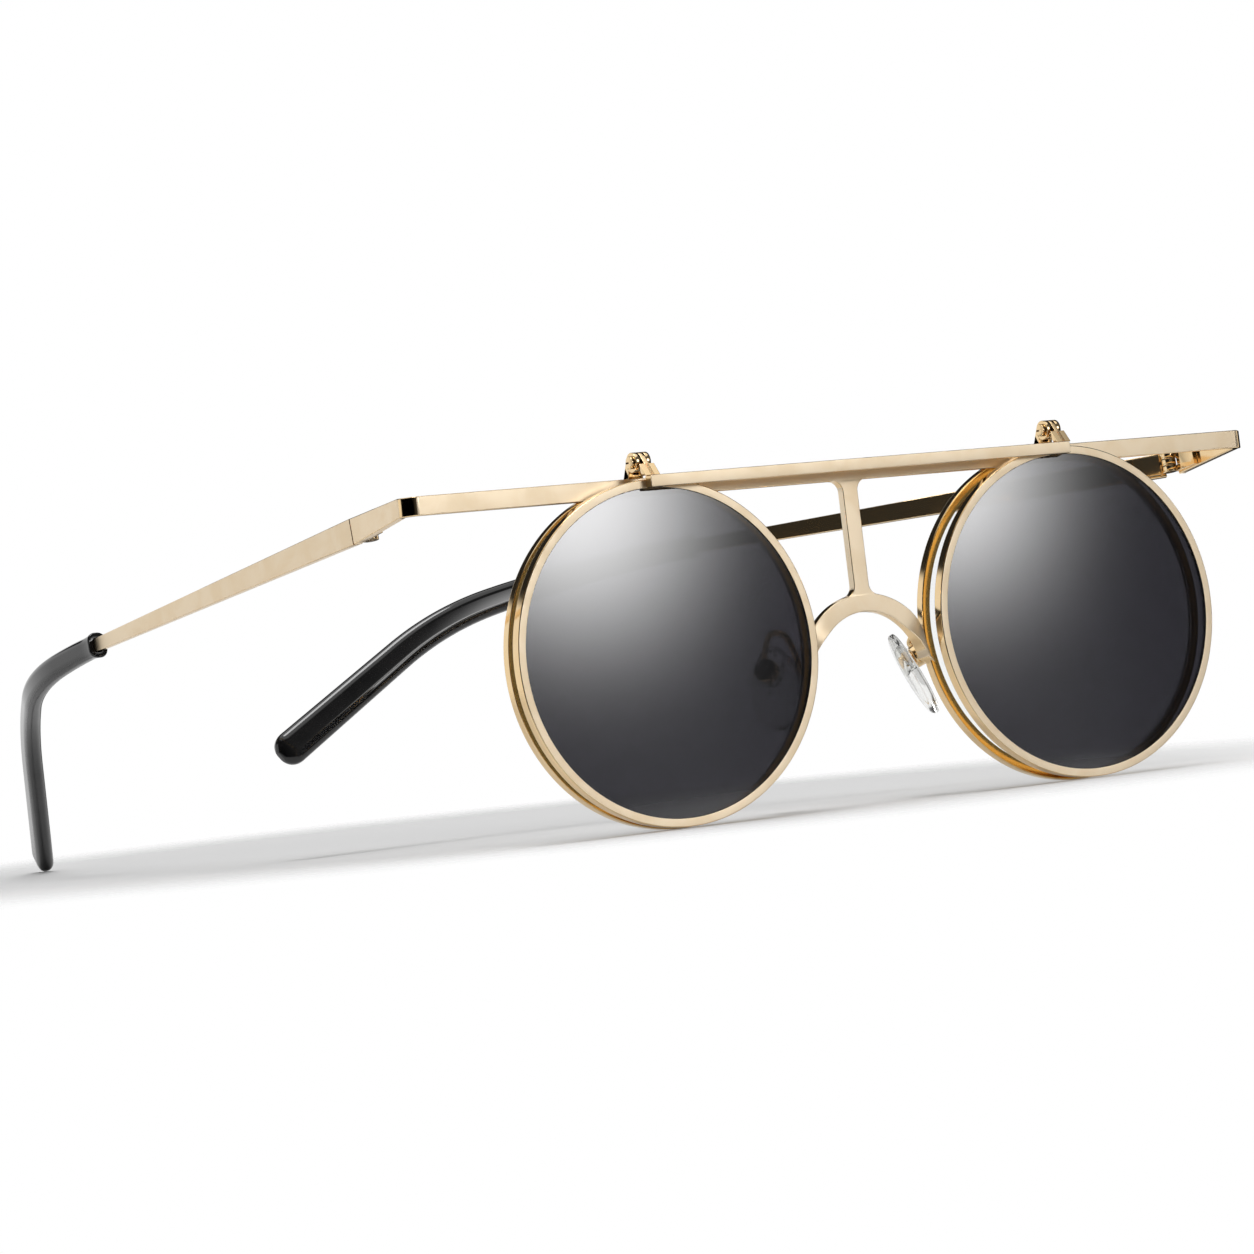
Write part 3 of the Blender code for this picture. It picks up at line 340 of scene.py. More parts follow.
AXIS_ALONG_X = Matrix(((0, 0, 1, 0), (1, 0, 0, 0), (0, 1, 0, 0), (0, 0, 0, 1)))
HEAD_OTHER_WAY = Matrix.Rotation(math.pi, 4, "X")
TURN_Z_TO_X = Matrix.Rotation(math.pi / 2, 3, "Y")


def length_property(name, description, default):
    return FloatProperty(
        name=name, description=description, default=default, min=SMALLEST_SIZE, unit="LENGTH", precision=5
    )


def colour_property(name, description, default):
    return FloatVectorProperty(
        name=name, description=description, default=(*default, 1.0), size=4, min=0.0, max=1.0, subtype="COLOR"
    )


class GlassesSizes(bpy.types.PropertyGroup):
    """Sizes of the glasses that a maker would change."""

    lens_radius: length_property("Lens radius", "Radius of the four round lens openings", 0.0230)
    rear_rim_face: length_property("Rear rim face", "Width of the rear rims seen from the front", 0.0013)
    rear_rim_depth: length_property("Rear rim depth", "Depth of the rear rims from front to back", 0.0015)
    flip_rim_face: length_property("Flip rim face", "Width of the flip rims seen from the front", 0.0012)
    flip_rim_depth: length_property("Flip rim depth", "Depth of the flip rims from front to back", 0.0017)
    bar_height: length_property("Brow bar height", "Height of the strip across the front", 0.00265)
    bar_thickness: length_property("Strip thickness", "Thickness of the brow bar and the temples", 0.0013)
    pad_height: length_property("Nose pad height", "Height of the clear nose pads", 0.0134)
    pad_width: length_property("Nose pad width", "Width of the clear nose pads", 0.0080)
    sleeve_height: length_property("Sleeve height", "Height of the sleeves at their mouths", 0.0034)
    sleeve_tip_height: length_property("Sleeve tip height", "Height of the sleeves at their ends", 0.0051)
    sleeve_thickness: length_property("Sleeve thickness", "Thickness of the sleeves at their mouths", 0.0027)
    sleeve_tip_thickness: length_property(
        "Sleeve tip thickness", "Thickness of the sleeves at their ends", 0.0028
    )


class GlassesColours(bpy.types.PropertyGroup):
    """Colours of the glasses and of the floor, linear."""

    gold: colour_property("Gold", "Polished gold of the edges, screws and hinges", (0.92, 0.69, 0.40))
    # Painted reflection: a more orange gold for faces that look at other gold, standing in for light bounced
    # from gold to gold
    deep_gold: colour_property("Deep gold", "Gold that faces other gold across a gap", (0.93, 0.58, 0.17))
    satin: colour_property("Satin gold", "Paler satin gold of the wide faces", (0.94, 0.785, 0.575))
    acetate: colour_property("Sleeve", "Black acetate of the temple sleeves", (0.006, 0.006, 0.0065))
    dark_lens: colour_property("Dark lens", "White seen through a dark lens", (0.034, 0.033, 0.040))
    clear_lens: colour_property("Clear lens", "Tint of the rear lenses", (0.955, 0.965, 0.96))
    silicone: colour_property("Nose pad", "Tint of the clear nose pads", (0.93, 0.93, 0.91))
    floor: colour_property("Floor", "Pale floor under the glasses", (0.94, 0.94, 0.94))


def sizes():
    return bpy.context.scene.glasses_sizes


def colours():
    return bpy.context.scene.glasses_colours


def shift(x=0.0, y=0.0, z=0.0):
    return Matrix.Translation((x, y, z))


def between(start, end, share):
    return start + (end - start) * share


def clamped(value):
    return min(1.0, max(0.0, value))


def layout():
    """Places that follow from the sizes, in the axes of the glasses, and the stand matrix to the floor."""
    s = sizes()
    at = SimpleNamespace()
    at.rear_front = s.flip_rim_depth + FLIP_TO_REAR_GAP
    at.rear_centre = at.rear_front + s.rear_rim_depth / 2
    at.rear_back = at.rear_front + s.rear_rim_depth
    at.rear_outer = s.lens_radius + s.rear_rim_face
    at.rear_x = REAR_RIM_TO_MIDDLE + at.rear_outer
    at.flip_x = FLIP_RIM_TO_MIDDLE + s.lens_radius + s.flip_rim_face
    at.half_width = at.rear_x + at.rear_outer + BAR_PAST_RIM
    at.bar_front = at.rear_front - BAR_LAP
    at.bar_bottom = at.rear_outer - BAR_BELOW_RIM_TOP
    at.bar_top = at.bar_bottom + s.bar_height
    at.arch_radius = REAR_RIM_TO_MIDDLE + ARCH_PAST_RIM
    at.flip_bar_half = at.flip_x + FLIP_BAR_PAST_CENTRE
    at.flip_hinge_x = at.flip_bar_half - FLIP_HINGE_FROM_BAR_END
    at.flip_pivot = Vector((0, at.bar_front - FLIP_PIVOT_BEFORE_BAR, at.bar_top + FLIP_PIVOT_ABOVE_BAR))
    at.hinge_x = at.half_width - TEMPLE_HINGE_INSET
    at.hinge_y = at.bar_front + END_PIECE_LENGTH
    at.hinge_z = at.bar_top - TEMPLE_HINGE_BELOW_BAR_TOP
    at.strip_x = at.half_width - at.hinge_x - s.bar_thickness / 2
    axis = JOINTS["temple_right_fold"]["axis"]
    lean = math.atan2(abs(axis[1]), abs(axis[2])) - TEMPLE_DROOP
    turn = Matrix.Rotation(-lean, 4, "X")
    pivot = Vector(JOINTS["flip_front_hinge"]["pos_m"])
    at.stand = Matrix.Translation(pivot - turn @ at.flip_pivot) @ turn
    return at


# Mesh helpers


def bevelled(bm, geom, width, segments, affect):
    bmesh.ops.bevel(
        bm,
        geom=list(geom),
        offset=width,
        offset_type="OFFSET",
        segments=segments,
        profile=0.5,
        affect=affect,
        material=-1,
        clamp_overlap=affect == "EDGES",
    )


def rounded(bm, edges, width):
    bevelled(bm, edges, width, EDGE_SEGMENTS, "EDGES")


def bevel_corners(bm, verts, rounding, segments):
    """Rounds the corners of a flat outline and returns its face."""
    bevelled(bm, verts, rounding, segments, "VERTICES")
    return max((face for face in bm.faces if len(face.verts) > 4), key=lambda face: face.index, default=None)


def edges_of(verts):
    """The edges at the verts, each once and in the order they are met."""
    return list(dict.fromkeys(edge for vert in verts for edge in vert.link_edges))


def rod(bm, radius, low, high, edge=FINE_ROUNDING, steps=BARREL_STEPS):
    """A cylinder along local Z with rounded ends."""
    made = bmesh.ops.create_cone(
        bm,
        cap_ends=True,
        segments=steps,
        radius1=radius,
        radius2=radius,
        depth=high - low,
        matrix=shift(z=(low + high) / 2),
    )
    rims = [e for e in edges_of(made["verts"]) if any(len(face.verts) > 4 for face in e.link_faces)]
    rounded(bm, rims, edge)


def block(bm, low, high, edge=FINE_ROUNDING, matrix=Matrix()):
    """A box between two corners with rounded edges."""
    size = [b - a for a, b in zip(low, high)]
    middle = [(a + b) / 2 for a, b in zip(low, high)]
    place = matrix @ Matrix.Translation(middle) @ Matrix.Diagonal((*size, 1))
    made = bmesh.ops.create_cube(bm, size=1, matrix=place)
    rounded(bm, edges_of(made["verts"]), edge)


def extruded(bm, faces):
    """Extrudes the faces and returns the new verts and the first new face."""
    made = bmesh.ops.extrude_face_region(bm, geom=faces)["geom"]
    verts = [part for part in made if isinstance(part, bmesh.types.BMVert)]
    return verts, next(part for part in made if isinstance(part, bmesh.types.BMFace))


def push(bm, faces, matrix):
    """Moves the faces out or in by the matrix, with walls behind them, and drops what they covered."""
    verts, _ = extruded(bm, faces)
    bmesh.ops.delete(bm, geom=faces, context="FACES")
    bmesh.ops.transform(bm, matrix=matrix, verts=verts)


def plate(bm, outline, low, high, edge=FINE_ROUNDING):
    """A flat outline in local X and Y, given its thickness along Z."""
    verts = [bm.verts.new((x, y, low)) for x, y in outline]
    moved, _ = extruded(bm, [bm.faces.new(verts)])
    bmesh.ops.translate(bm, verts=moved, vec=(0, 0, high - low))
    rounded(bm, edges_of(verts + moved), edge)


def section(bm, width, height, rounding, place=Matrix(), segments=CORNER_SEGMENTS):
    """A rounded rectangle as one face, across local X and upright on local Y, then set in its place."""
    made = bmesh.ops.create_grid(
        bm, x_segments=1, y_segments=1, size=0.5, matrix=Matrix.Diagonal((width, height, 1, 1))
    )
    face = bevel_corners(bm, made["verts"], rounding, segments)
    bmesh.ops.transform(bm, matrix=place, verts=bm.verts)
    return face


def sweep(bm, face, places):
    """Draws the face out through the places, each a matrix, from the first to the last."""
    start = face
    for before, after in zip(places, places[1:]):
        moved, ahead = extruded(bm, [face])
        bmesh.ops.transform(bm, matrix=after @ before.inverted(), verts=moved)
        if face != start:
            bmesh.ops.delete(bm, geom=[face], context="FACES_ONLY")
        face = ahead


def swept(width, height, places):
    """A strip with rounded edges through the places."""
    bm = bmesh.new()
    sweep(bm, section(bm, width, height, STRIP_ROUNDING, places[0]), places)
    return bm


def place_of(centre, across, upward, width=1.0, height=1.0):
    """A matrix with X across, Y upward and Z along, scaled to the section there."""
    along = across.cross(upward)
    matrix = Matrix.Identity(4)
    matrix.col[0][:3] = across * width
    matrix.col[1][:3] = upward * height
    matrix.col[2][:3] = along.normalized()
    matrix.col[3][:3] = centre
    return matrix


def rotate_profile(bm, steps=RIM_STEPS):
    """Turns the wire that stands in X and Y about the Y axis, all the way round."""
    bmesh.ops.spin(
        bm,
        geom=bm.verts[:] + bm.edges[:],
        cent=(0, 0, 0),
        axis=(0, 1, 0),
        angle=math.tau,
        steps=steps,
        use_merge=True,
    )


def join(bm, other):
    """Adds the other bmesh to this one."""
    part = bpy.data.meshes.new("part")
    bmesh.ops.recalc_face_normals(other, faces=other.faces)
    other.to_mesh(part)
    other.free()
    bm.from_mesh(part)
    bpy.data.meshes.remove(part)


def paint(bm, choose):
    """Faces the piece outwards and gives each face the material that choose names by its number."""
    bmesh.ops.recalc_face_normals(bm, faces=bm.faces)
    for face in bm.faces:
        face.material_index = int(choose(face))


def add_object(name, data):
    obj = bpy.data.objects.new(name, data)
    bpy.context.scene.collection.objects.link(obj)
    return obj


def add_mesh(bm, name, materials):
    mesh = bpy.data.meshes.new(name)
    bm.to_mesh(mesh)
    bm.free()
    for material in materials:
        mesh.materials.append(material)
    return add_object(name, mesh)


def stand_for(bm, node, place, finishes, sharp=SHARP_EDGE, flat_faces=True):
    """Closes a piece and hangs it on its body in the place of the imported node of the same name.

    With flat_faces the large faces keep their own normals, and only the rounding between them is smooth.
    """
    bmesh.ops.remove_doubles(bm, verts=bm.verts, dist=WELD)
    bmesh.ops.recalc_face_normals(bm, faces=bm.faces)
    bmesh.ops.transform(bm, matrix=place, verts=bm.verts)
    obj = add_mesh(bm, "fine_" + node, [finish(name) for name in finishes])
    obj.data.shade_smooth()
    obj.data.set_sharp_from_angle(angle=sharp)
    if flat_faces:
        normals = obj.modifiers.new("flat_faces", "WEIGHTED_NORMAL")
        normals.mode = "FACE_AREA"
        normals.weight = FLAT_FACE_WEIGHT
        normals.keep_sharp = True
    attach(obj, BODY_OF[node])
    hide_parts(node)


# Finishes


def feed(tree, socket, value):
    """Links the value to the socket if it is another socket, and sets it there otherwise."""
    if isinstance(value, bpy.types.NodeSocket):
        tree.links.new(value, socket)
    else:
        socket.default_value = value


def add_node(tree, kind, inputs=None, **settings):
    """A node with its settings, and its inputs fed by name or number."""
    node = tree.nodes.new(kind)
    for name, value in settings.items():
        setattr(node, name, value)
    for key, value in (inputs or {}).items():
        feed(tree, node.inputs[key], value)
    return node


def noise(tree, vector, scale, detail, roughness=0.5, distortion=0.0):
    inputs = {"Vector": vector, "Scale": scale, "Detail": detail, "Roughness": roughness}
    return add_node(tree, "ShaderNodeTexNoise", {**inputs, "Distortion": distortion}).outputs["Fac"]


def remap(tree, value, start=0.0, end=1.0, low=0.0, high=1.0, curve="SMOOTHSTEP"):
    """The value carried from the range start to end onto the range low to high."""
    inputs = {"Value": value, "From Min": start, "From Max": end, "To Min": low, "To Max": high}
    return add_node(tree, "ShaderNodeMapRange", inputs, interpolation_type=curve).outputs["Result"]


def handling_group():
    """Smudges and hairline scratches from handling, each a mask over the surface."""
    if "handling" in bpy.data.node_groups:
        return bpy.data.node_groups["handling"]
    group = bpy.data.node_groups.new("handling", "ShaderNodeTree")
    group.interface.new_socket(name="Vector", in_out="INPUT", socket_type="NodeSocketVector")
    for name, default in (("Smudge Scale", GOLD_SMUDGE_SCALE), ("Scratch Scale", SCRATCH_SCALE)):
        made = group.interface.new_socket(name=name, in_out="INPUT", socket_type="NodeSocketFloat")
        made.default_value = default
    for name in ("Smudge", "Scratch"):
        group.interface.new_socket(name=name, in_out="OUTPUT", socket_type="NodeSocketFloat")
    given = add_node(group, "NodeGroupInput").outputs
    smudge = noise(group, given["Vector"], given["Smudge Scale"], *SMUDGE_NOISE)
    lines = {"Vector": given["Vector"], "Rotation": SCRATCH_TURN, "Scale": SCRATCH_STRETCH}
    lines = add_node(group, "ShaderNodeMapping", lines).outputs["Vector"]
    scratch = noise(group, lines, given["Scratch Scale"], SCRATCH_DETAIL)
    masks = {"Smudge": remap(group, smudge, *SMUDGE_RANGE), "Scratch": remap(group, scratch, *SCRATCH_RANGE)}
    add_node(group, "NodeGroupOutput", masks)
    return group


def new_look(name):
    """A new material with its tree, its shader and the object coordinates."""
    material = bpy.data.materials.new(name)
    material.use_nodes = True
    tree = material.node_tree
    spot = add_node(tree, "ShaderNodeTexCoord").outputs["Object"]
    return SimpleNamespace(material=material, tree=tree, shader=tree.nodes["Principled BSDF"], spot=spot)


def handled_look(name, colour, factors, smudge_scale):
    """A look with its smudge and scratch masks, its colour shifted by the factors where it is smudged."""
    look = new_look(name)
    inputs = {"Vector": look.spot, "Smudge Scale": smudge_scale}
    masks = add_node(look.tree, "ShaderNodeGroup", inputs, node_tree=handling_group()).outputs
    look.smudge, look.scratch = masks["Smudge"], masks["Scratch"]
    vary_colour(look, look.smudge, colour, factors)
    return look


def vary_colour(look, mask, colour, factors):
    shifted = (*(min(1.0, value * factor) for value, factor in zip(colour, factors)), 1.0)
    inputs = {"Factor": mask, "A": tuple(colour), "B": shifted}
    mix = add_node(look.tree, "ShaderNodeMix", inputs, data_type="RGBA")
    feed(look.tree, look.shader.inputs["Base Color"], mix.outputs["Result"])


def vary_roughness(look, mask, low, high):
    spread = remap(look.tree, mask, low=low, high=high, curve="LINEAR")
    feed(look.tree, look.shader.inputs["Roughness"], spread)


def raise_surface(look, height, distance):
    bump = add_node(look.tree, "ShaderNodeBump", {"Strength": 1.0, "Distance": distance, "Height": height})
    feed(look.tree, look.shader.inputs["Normal"], bump.outputs["Normal"])


def gold_finish(name, colour, rough, rougher, depth, grain_scale=None):
    """Gold with smudges and hairlines or, with a grain scale, as it is left where the wheel doesn't reach."""
    look = handled_look(name, colour, HANDLED_GOLD, GOLD_SMUDGE_SCALE)
    look.shader.inputs["Metallic"].default_value = 1.0
    mask, height = look.smudge, look.scratch
    if grain_scale:
        mask = height = noise(look.tree, look.spot, grain_scale, GRAIN_DETAIL)
    vary_roughness(look, mask, rough, rougher)
    raise_surface(look, height, depth)
    return look.material


def acetate_finish(name):
    look = handled_look(name, colours().acetate, HANDLED_ACETATE, ACETATE_SMUDGE_SCALE)
    vary_roughness(look, look.smudge, *ACETATE_ROUGHNESS)
    raise_surface(look, look.scratch, ACETATE_SCRATCH_DEPTH)
    for socket, value in ACETATE_SHADER.items():
        look.shader.inputs[socket].default_value = value
    return look.material


def glass_finish(name, colour, ior, rough, rougher, cloud):
    """Clear or tinted glass, with faint finger marks and a slight cloud in its colour."""
    look = handled_look(name, colour, (cloud,) * 3, GLASS_SMUDGE_SCALE)
    vary_roughness(look, look.smudge, rough, rougher)
    look.shader.inputs["Transmission Weight"].default_value = 1.0
    look.shader.inputs["IOR"].default_value = ior
    return look.material


def finish(name):
    """The named finish, made the first time that it is asked for."""
    if name in bpy.data.materials:
        return bpy.data.materials[name]
    if name == "black_acetate":
        return acetate_finish(name)
    make, table = (gold_finish, GOLD_FINISHES) if name in GOLD_FINISHES else (glass_finish, GLASS_FINISHES)
    colour, *values = table[name]
    return make(name, getattr(colours(), colour), *values)


# Pieces


def rim_piece(node, place, face_width, depth, front):
    """A round rim: its section with a groove for the lens, turned about the lens's middle."""
    inner = sizes().lens_radius
    outer = inner + face_width
    half = depth / 2
    corners = [(outer, -half), (outer, half), (inner, half), (inner, GROOVE_HALF_WIDTH)]
    corners += [(inner + GROOVE_DEPTH, 0), (inner, -GROOVE_HALF_WIDTH), (inner, -half)]
    bm = bmesh.new()
    verts = [bm.verts.new((x, y, 0)) for x, y in corners]
    bm.faces.new(verts)
    bevel_corners(bm, verts[:2], RIM_ROUNDING, RIM_SEGMENTS)
    inner_corners = [v for v in bm.verts if v.co.x < inner + WELD and abs(abs(v.co.y) - half) < WELD]
    bevel_corners(bm, inner_corners, RIM_INNER_ROUNDING, RIM_INNER_SEGMENTS)
    bmesh.ops.delete(bm, geom=bm.faces[:], context="FACES_ONLY")
    rotate_profile(bm)
    bmesh.ops.remove_doubles(bm, verts=bm.verts, dist=WELD)
    paint(bm, lambda face: face.normal.y < -FACING_LIMIT)
    stand_for(bm, node, place, ("polished_gold", front), RIM_SHARP_EDGE)


def lens_piece(node, place, thickness, material):
    """A thin lens that bulges to the front, its edge bevelled to sit in the rim's groove."""
    half = thickness / 2
    edge = sizes().lens_radius - LENS_GAP
    tip = sizes().lens_radius + GROOVE_DEPTH - 2 * LENS_GAP
    bevel = GROOVE_HALF_WIDTH - LENS_GAP
    ball = (edge**2 + LENS_BULGE**2) / (2 * LENS_BULGE)
    sweep_angle = math.asin(edge / ball)
    bm = bmesh.new()
    ends = []
    for crown in (-half - LENS_BULGE, half - LENS_BULGE):
        start = bm.verts.new((0, crown, 0))
        made = bmesh.ops.spin(
            bm, geom=[start], cent=(0, crown + ball, 0), axis=(0, 0, 1), angle=sweep_angle, steps=ARC_STEPS
        )
        ends.append(made["geom_last"][0])
    edge_verts = [bm.verts.new((x, y, 0)) for x, y in ((edge, -bevel), (tip, 0), (edge, bevel))]
    chain = [ends[0], *edge_verts, ends[1]]
    for first, second in zip(chain, chain[1:]):
        bm.edges.new((first, second))
    rotate_profile(bm, LENS_STEPS)
    stand_for(bm, node, place, (material,), LENS_SHARP_EDGE, flat_faces=False)


class GLASSES_OT_rear_rims(bpy.types.Operator):
    """Makes the two rear rims and their clear lenses"""

    bl_idname = "glasses.rear_rims"
    bl_label = "Rear rims and clear lenses"

    def execute(self, context):
        at, s = layout(), sizes()
        for side, label in SIDES:
            place = at.stand @ shift(side * at.rear_x, at.rear_centre)
            # The rear rims' front faces, which look at the flip rims across the gap, take the gold with
            # painted reflection
            rim_piece("rear_rim_" + label, place, s.rear_rim_face, s.rear_rim_depth, "deep_gold")
            lens_piece("rear_lens_" + label, place, REAR_LENS_THICKNESS, "clear_glass")
        return {"FINISHED"}


class GLASSES_OT_flip_rims(bpy.types.Operator):
    """Makes the two flip rims, their dark lenses and the flip bar"""

    bl_idname = "glasses.flip_rims"
    bl_label = "Flip front"

    def execute(self, context):
        at, s = layout(), sizes()
        for side, label in SIDES:
            place = at.stand @ shift(side * at.flip_x, s.flip_rim_depth / 2)
            rim_piece("flip_rim_" + label, place, s.flip_rim_face, s.flip_rim_depth, "satin_gold")
            lens_piece("dark_lens_" + label, place, DARK_LENS_THICKNESS, "dark_glass")
        bm = bmesh.new()
        low = (-at.flip_bar_half, -SOLDER_GAP - FLIP_BAR_THICKNESS, at.bar_top - FLIP_BAR_HEIGHT)
        block(bm, low, (at.flip_bar_half, -SOLDER_GAP, at.bar_top), STRIP_ROUNDING)
        # The flip bar's front takes satin gold, its underside the gold with painted reflection
        paint(bm, lambda face: 1 if face.normal.y < -FACING_LIMIT else 2 * (face.normal.z < -FACING_LIMIT))
        stand_for(bm, "flip_bar", at.stand, ("polished_gold", "satin_gold", "deep_gold"))
        return {"FINISHED"}


def bar_place(at, x, y, inward, share, lean=0.0):
    """The strip's place at a point of its outer line; share goes from the front, 0, to the seam, 1."""
    s = sizes()
    height = s.bar_height + (END_PIECE_HEIGHT - s.bar_height) * share
    front_z = at.bar_bottom + s.bar_height / 2
    centre = Vector((x, y, front_z + (at.hinge_z - front_z) * share)) + inward * (s.bar_thickness / 2)
    upward = Vector((0, math.tan(lean), 1))
    return place_of(centre, inward, upward, 1.0, height / s.bar_height)


def half_bar(at):
    """Places from the left hinge seam forward and round the corner to the front.

    The corner is a short bend, a flat facet and a short bend again.
    """
    tangent = BAR_CORNER_BEND * math.tan(BAR_CORNER_TURN / 2)
    seam_y = at.hinge_y - SEAM_GAP / 2
    corner_y = at.bar_front + BAR_CORNER_CUT + tangent
    places = []
    for i in range(ARC_STEPS):
        y = seam_y + (corner_y - seam_y) * i / ARC_STEPS
        lean = TEMPLE_DROOP if i == 0 else 0.0
        share = (y - corner_y) / (seam_y - corner_y)
        places.append(bar_place(at, -at.half_width, y, Vector((1, 0, 0)), share, lean))
    bends = (
        (at.half_width - BAR_CORNER_BEND, corner_y, 0.0),
        (at.half_width - BAR_CORNER_CUT - tangent, at.bar_front + BAR_CORNER_BEND, BAR_CORNER_TURN),
    )
    for x, y, start in bends:
        for i in range(BEND_STEPS + 1):
            angle = start + BAR_CORNER_TURN * i / BEND_STEPS
            outward = Vector((-math.cos(angle), -math.sin(angle), 0))
            spot = Vector((-x, y, 0)) + outward * BAR_CORNER_BEND
            places.append(bar_place(at, spot.x, spot.y, -outward, 0))
    return places


def mirrored(place):
    """The mirror image of a place, with its X turned so that the sweep still runs on."""
    centre, across = place.col[3].xyz, place.col[0].xyz
    centre.x, across.x = -centre.x, -across.x
    return place_of(centre, across, place.col[1].xyz)


class GLASSES_OT_brow_bar(bpy.types.Operator):
    """Makes the brow bar, one strip bent back at both ends"""

    bl_idname = "glasses.brow_bar"
    bl_label = "Brow bar"

    def execute(self, context):
        at, s = layout(), sizes()
        left = half_bar(at)
        bm = swept(s.bar_thickness, s.bar_height, left + [mirrored(place) for place in reversed(left)])

        def wide(face):
            outer = face.normal.x * face.calc_center_median().x > 0
            sideways = outer and abs(face.normal.x) > BAR_FACING_LIMIT
            return face.normal.y < -BAR_FACING_LIMIT or sideways

        paint(bm, wide)
        stand_for(bm, "brow_bar", at.stand, ("polished_gold", "satin_gold"))
        return {"FINISHED"}


def arch_place(at, angle):
    """The arch at an angle from its top: flat-faced in the middle, narrow and twisted at the rims."""
    share = clamped((abs(angle) / ARCH_HALF_ANGLE - ARCH_FLAT_SHARE) / (1 - ARCH_FLAT_SHARE))
    share = share * share * (3 - 2 * share)
    radial = Vector((math.sin(angle), 0, math.cos(angle)))
    centre_y = between(at.bar_front + STRUT_THICKNESS / 2, at.rear_centre, share)
    centre = Vector((0, centre_y, ARCH_TOP - at.arch_radius)) + radial * at.arch_radius
    back = Vector((0, 1, 0))
    twist = ARCH_TWIST * share
    upward = radial * math.cos(twist) + back * math.sin(twist)
    across = back * math.cos(twist) - radial * math.sin(twist)
    height = between(ARCH_HEIGHT, ARCH_END_HEIGHT, share)
    thickness = between(STRUT_THICKNESS, ARCH_END_THICKNESS, share)
    return place_of(centre, across, upward, thickness / STRUT_THICKNESS, height / ARCH_HEIGHT)


def arch_end(at, angle):
    """Places that carry the end of the arch on into the rim, ever smaller."""
    places = []
    for i in range(1, ARCH_END_STEPS + 1):
        share = i / ARCH_END_STEPS
        place = arch_place(at, angle * (1 + ARCH_END_REACH * share))
        place.translation.x += math.copysign(ARCH_END_SINK * share, angle)
        left = 1 - ARCH_END_SHRINK * share**ARCH_END_POWER
        places.append(place @ Matrix.Diagonal((left, left, 1, 1)))
    return places


def strut_places(at):
    """The strut from the brow bar down, flared by fillets at both ends."""
    low = ARCH_TOP + ARCH_HEIGHT / 2 - STRUT_FILLET * ARCH_LANDING_SHARE
    y = at.bar_front + STRUT_THICKNESS / 2
    turns = [math.pi / 2 * i / FILLET_STEPS for i in range(FILLET_STEPS + 1)]
    heights = [at.bar_bottom + STRIP_ROUNDING]
    heights += [at.bar_bottom - STRUT_FILLET * (1 - math.cos(turn)) for turn in turns]
    heights += [low + STRUT_FILLET * (1 - math.sin(turn)) for turn in turns]
    places = []
    for z in heights:
        below = clamped((at.bar_bottom - z) / STRUT_FILLET)
        above = clamped((z - low) / STRUT_FILLET)
        flare = STRUT_FILLET * (1 - math.sqrt(1 - (1 - below) ** 2))
        flare += STRUT_FILLET * (1 - math.sqrt(1 - (1 - above) ** 2))
        width = (STRUT_HALF_WIDTH + min(flare, STRUT_FILLET)) / STRUT_HALF_WIDTH
        centre = Vector((0, y - STRUT_PROUD, z))
        places.append(place_of(centre, Vector((1, 0, 0)), Vector((0, 1, 0)), width, 1.0))
    return places


class GLASSES_OT_nose_bridge(bpy.types.Operator):
    """Makes the T of the nose, a strut and a twisted arch"""

    bl_idname = "glasses.nose_bridge"
    bl_label = "Nose bridge"

    def execute(self, context):
        at = layout()
        reach = ARCH_HALF_ANGLE - ARCH_END_TAPER
        places = [arch_place(at, reach * (2 * i / ARCH_STEPS - 1)) for i in range(ARCH_STEPS + 1)]
        bm = swept(STRUT_THICKNESS, ARCH_HEIGHT, arch_end(at, -reach)[::-1] + places + arch_end(at, reach))
        paint(bm, lambda face: 2 * (face.normal.y < -ARCH_FACING_LIMIT))
        strut = swept(STRUT_HALF_WIDTH * 2, STRUT_THICKNESS, strut_places(at))
        paint(strut, lambda face: 2 if face.normal.y < -FACING_LIMIT else abs(face.normal.x) > FACING_LIMIT)
        join(bm, strut)
        stand_for(bm, "nose_bridge", at.stand, ("polished_gold", "grained_gold", "satin_gold"))
        return {"FINISHED"}


def pad_axes(side):
    """Axes of a nose pad: X to the nose, Y across the pad, Z up its length."""
    upward = Vector((-side * math.tan(PAD_FRONTAL_ANGLE), math.tan(PAD_VERTICAL_ANGLE), 1)).normalized()
    facing = Vector((-side * math.cos(PAD_SPLAY_ANGLE), math.sin(PAD_SPLAY_ANGLE), 0))
    facing = (facing - upward * facing.dot(upward)).normalized()
    return Matrix((facing, upward.cross(facing), upward)).transposed()


def pad_place(axes, centre):
    """The place of what turns about the pad's X, with local Z along it."""
    return Matrix.Translation(centre) @ (axes @ TURN_Z_TO_X).to_4x4()


def smooth_path(knots, steps):
    """An even curve through the knots."""
    ends = [knots[0] * 2 - knots[1]] + knots + [knots[-1] * 2 - knots[-2]]
    path = []
    for a, b, c, d in zip(ends, ends[1:], ends[2:], ends[3:]):
        for i in range(steps):
            t = i / steps
            squared = (a * 2 - b * 5 + c * 4 - d) * t**2
            cubed = (b * 3 - a - c * 3 + d) * t**3
            path.append((b * 2 + (c - a) * t + squared + cubed) / 2)
    return path + [knots[-1]]


def wire_places(path):
    """Places along a path, turned as little as possible from one to the next."""
    places = []
    across = None
    for i, centre in enumerate(path):
        along = (path[min(i + 1, len(path) - 1)] - path[max(i - 1, 0)]).normalized()
        if across is None:
            across = along.orthogonal()
        across = (across - along * across.dot(along)).normalized()
        places.append(place_of(centre, across, along.cross(across)))
    return places


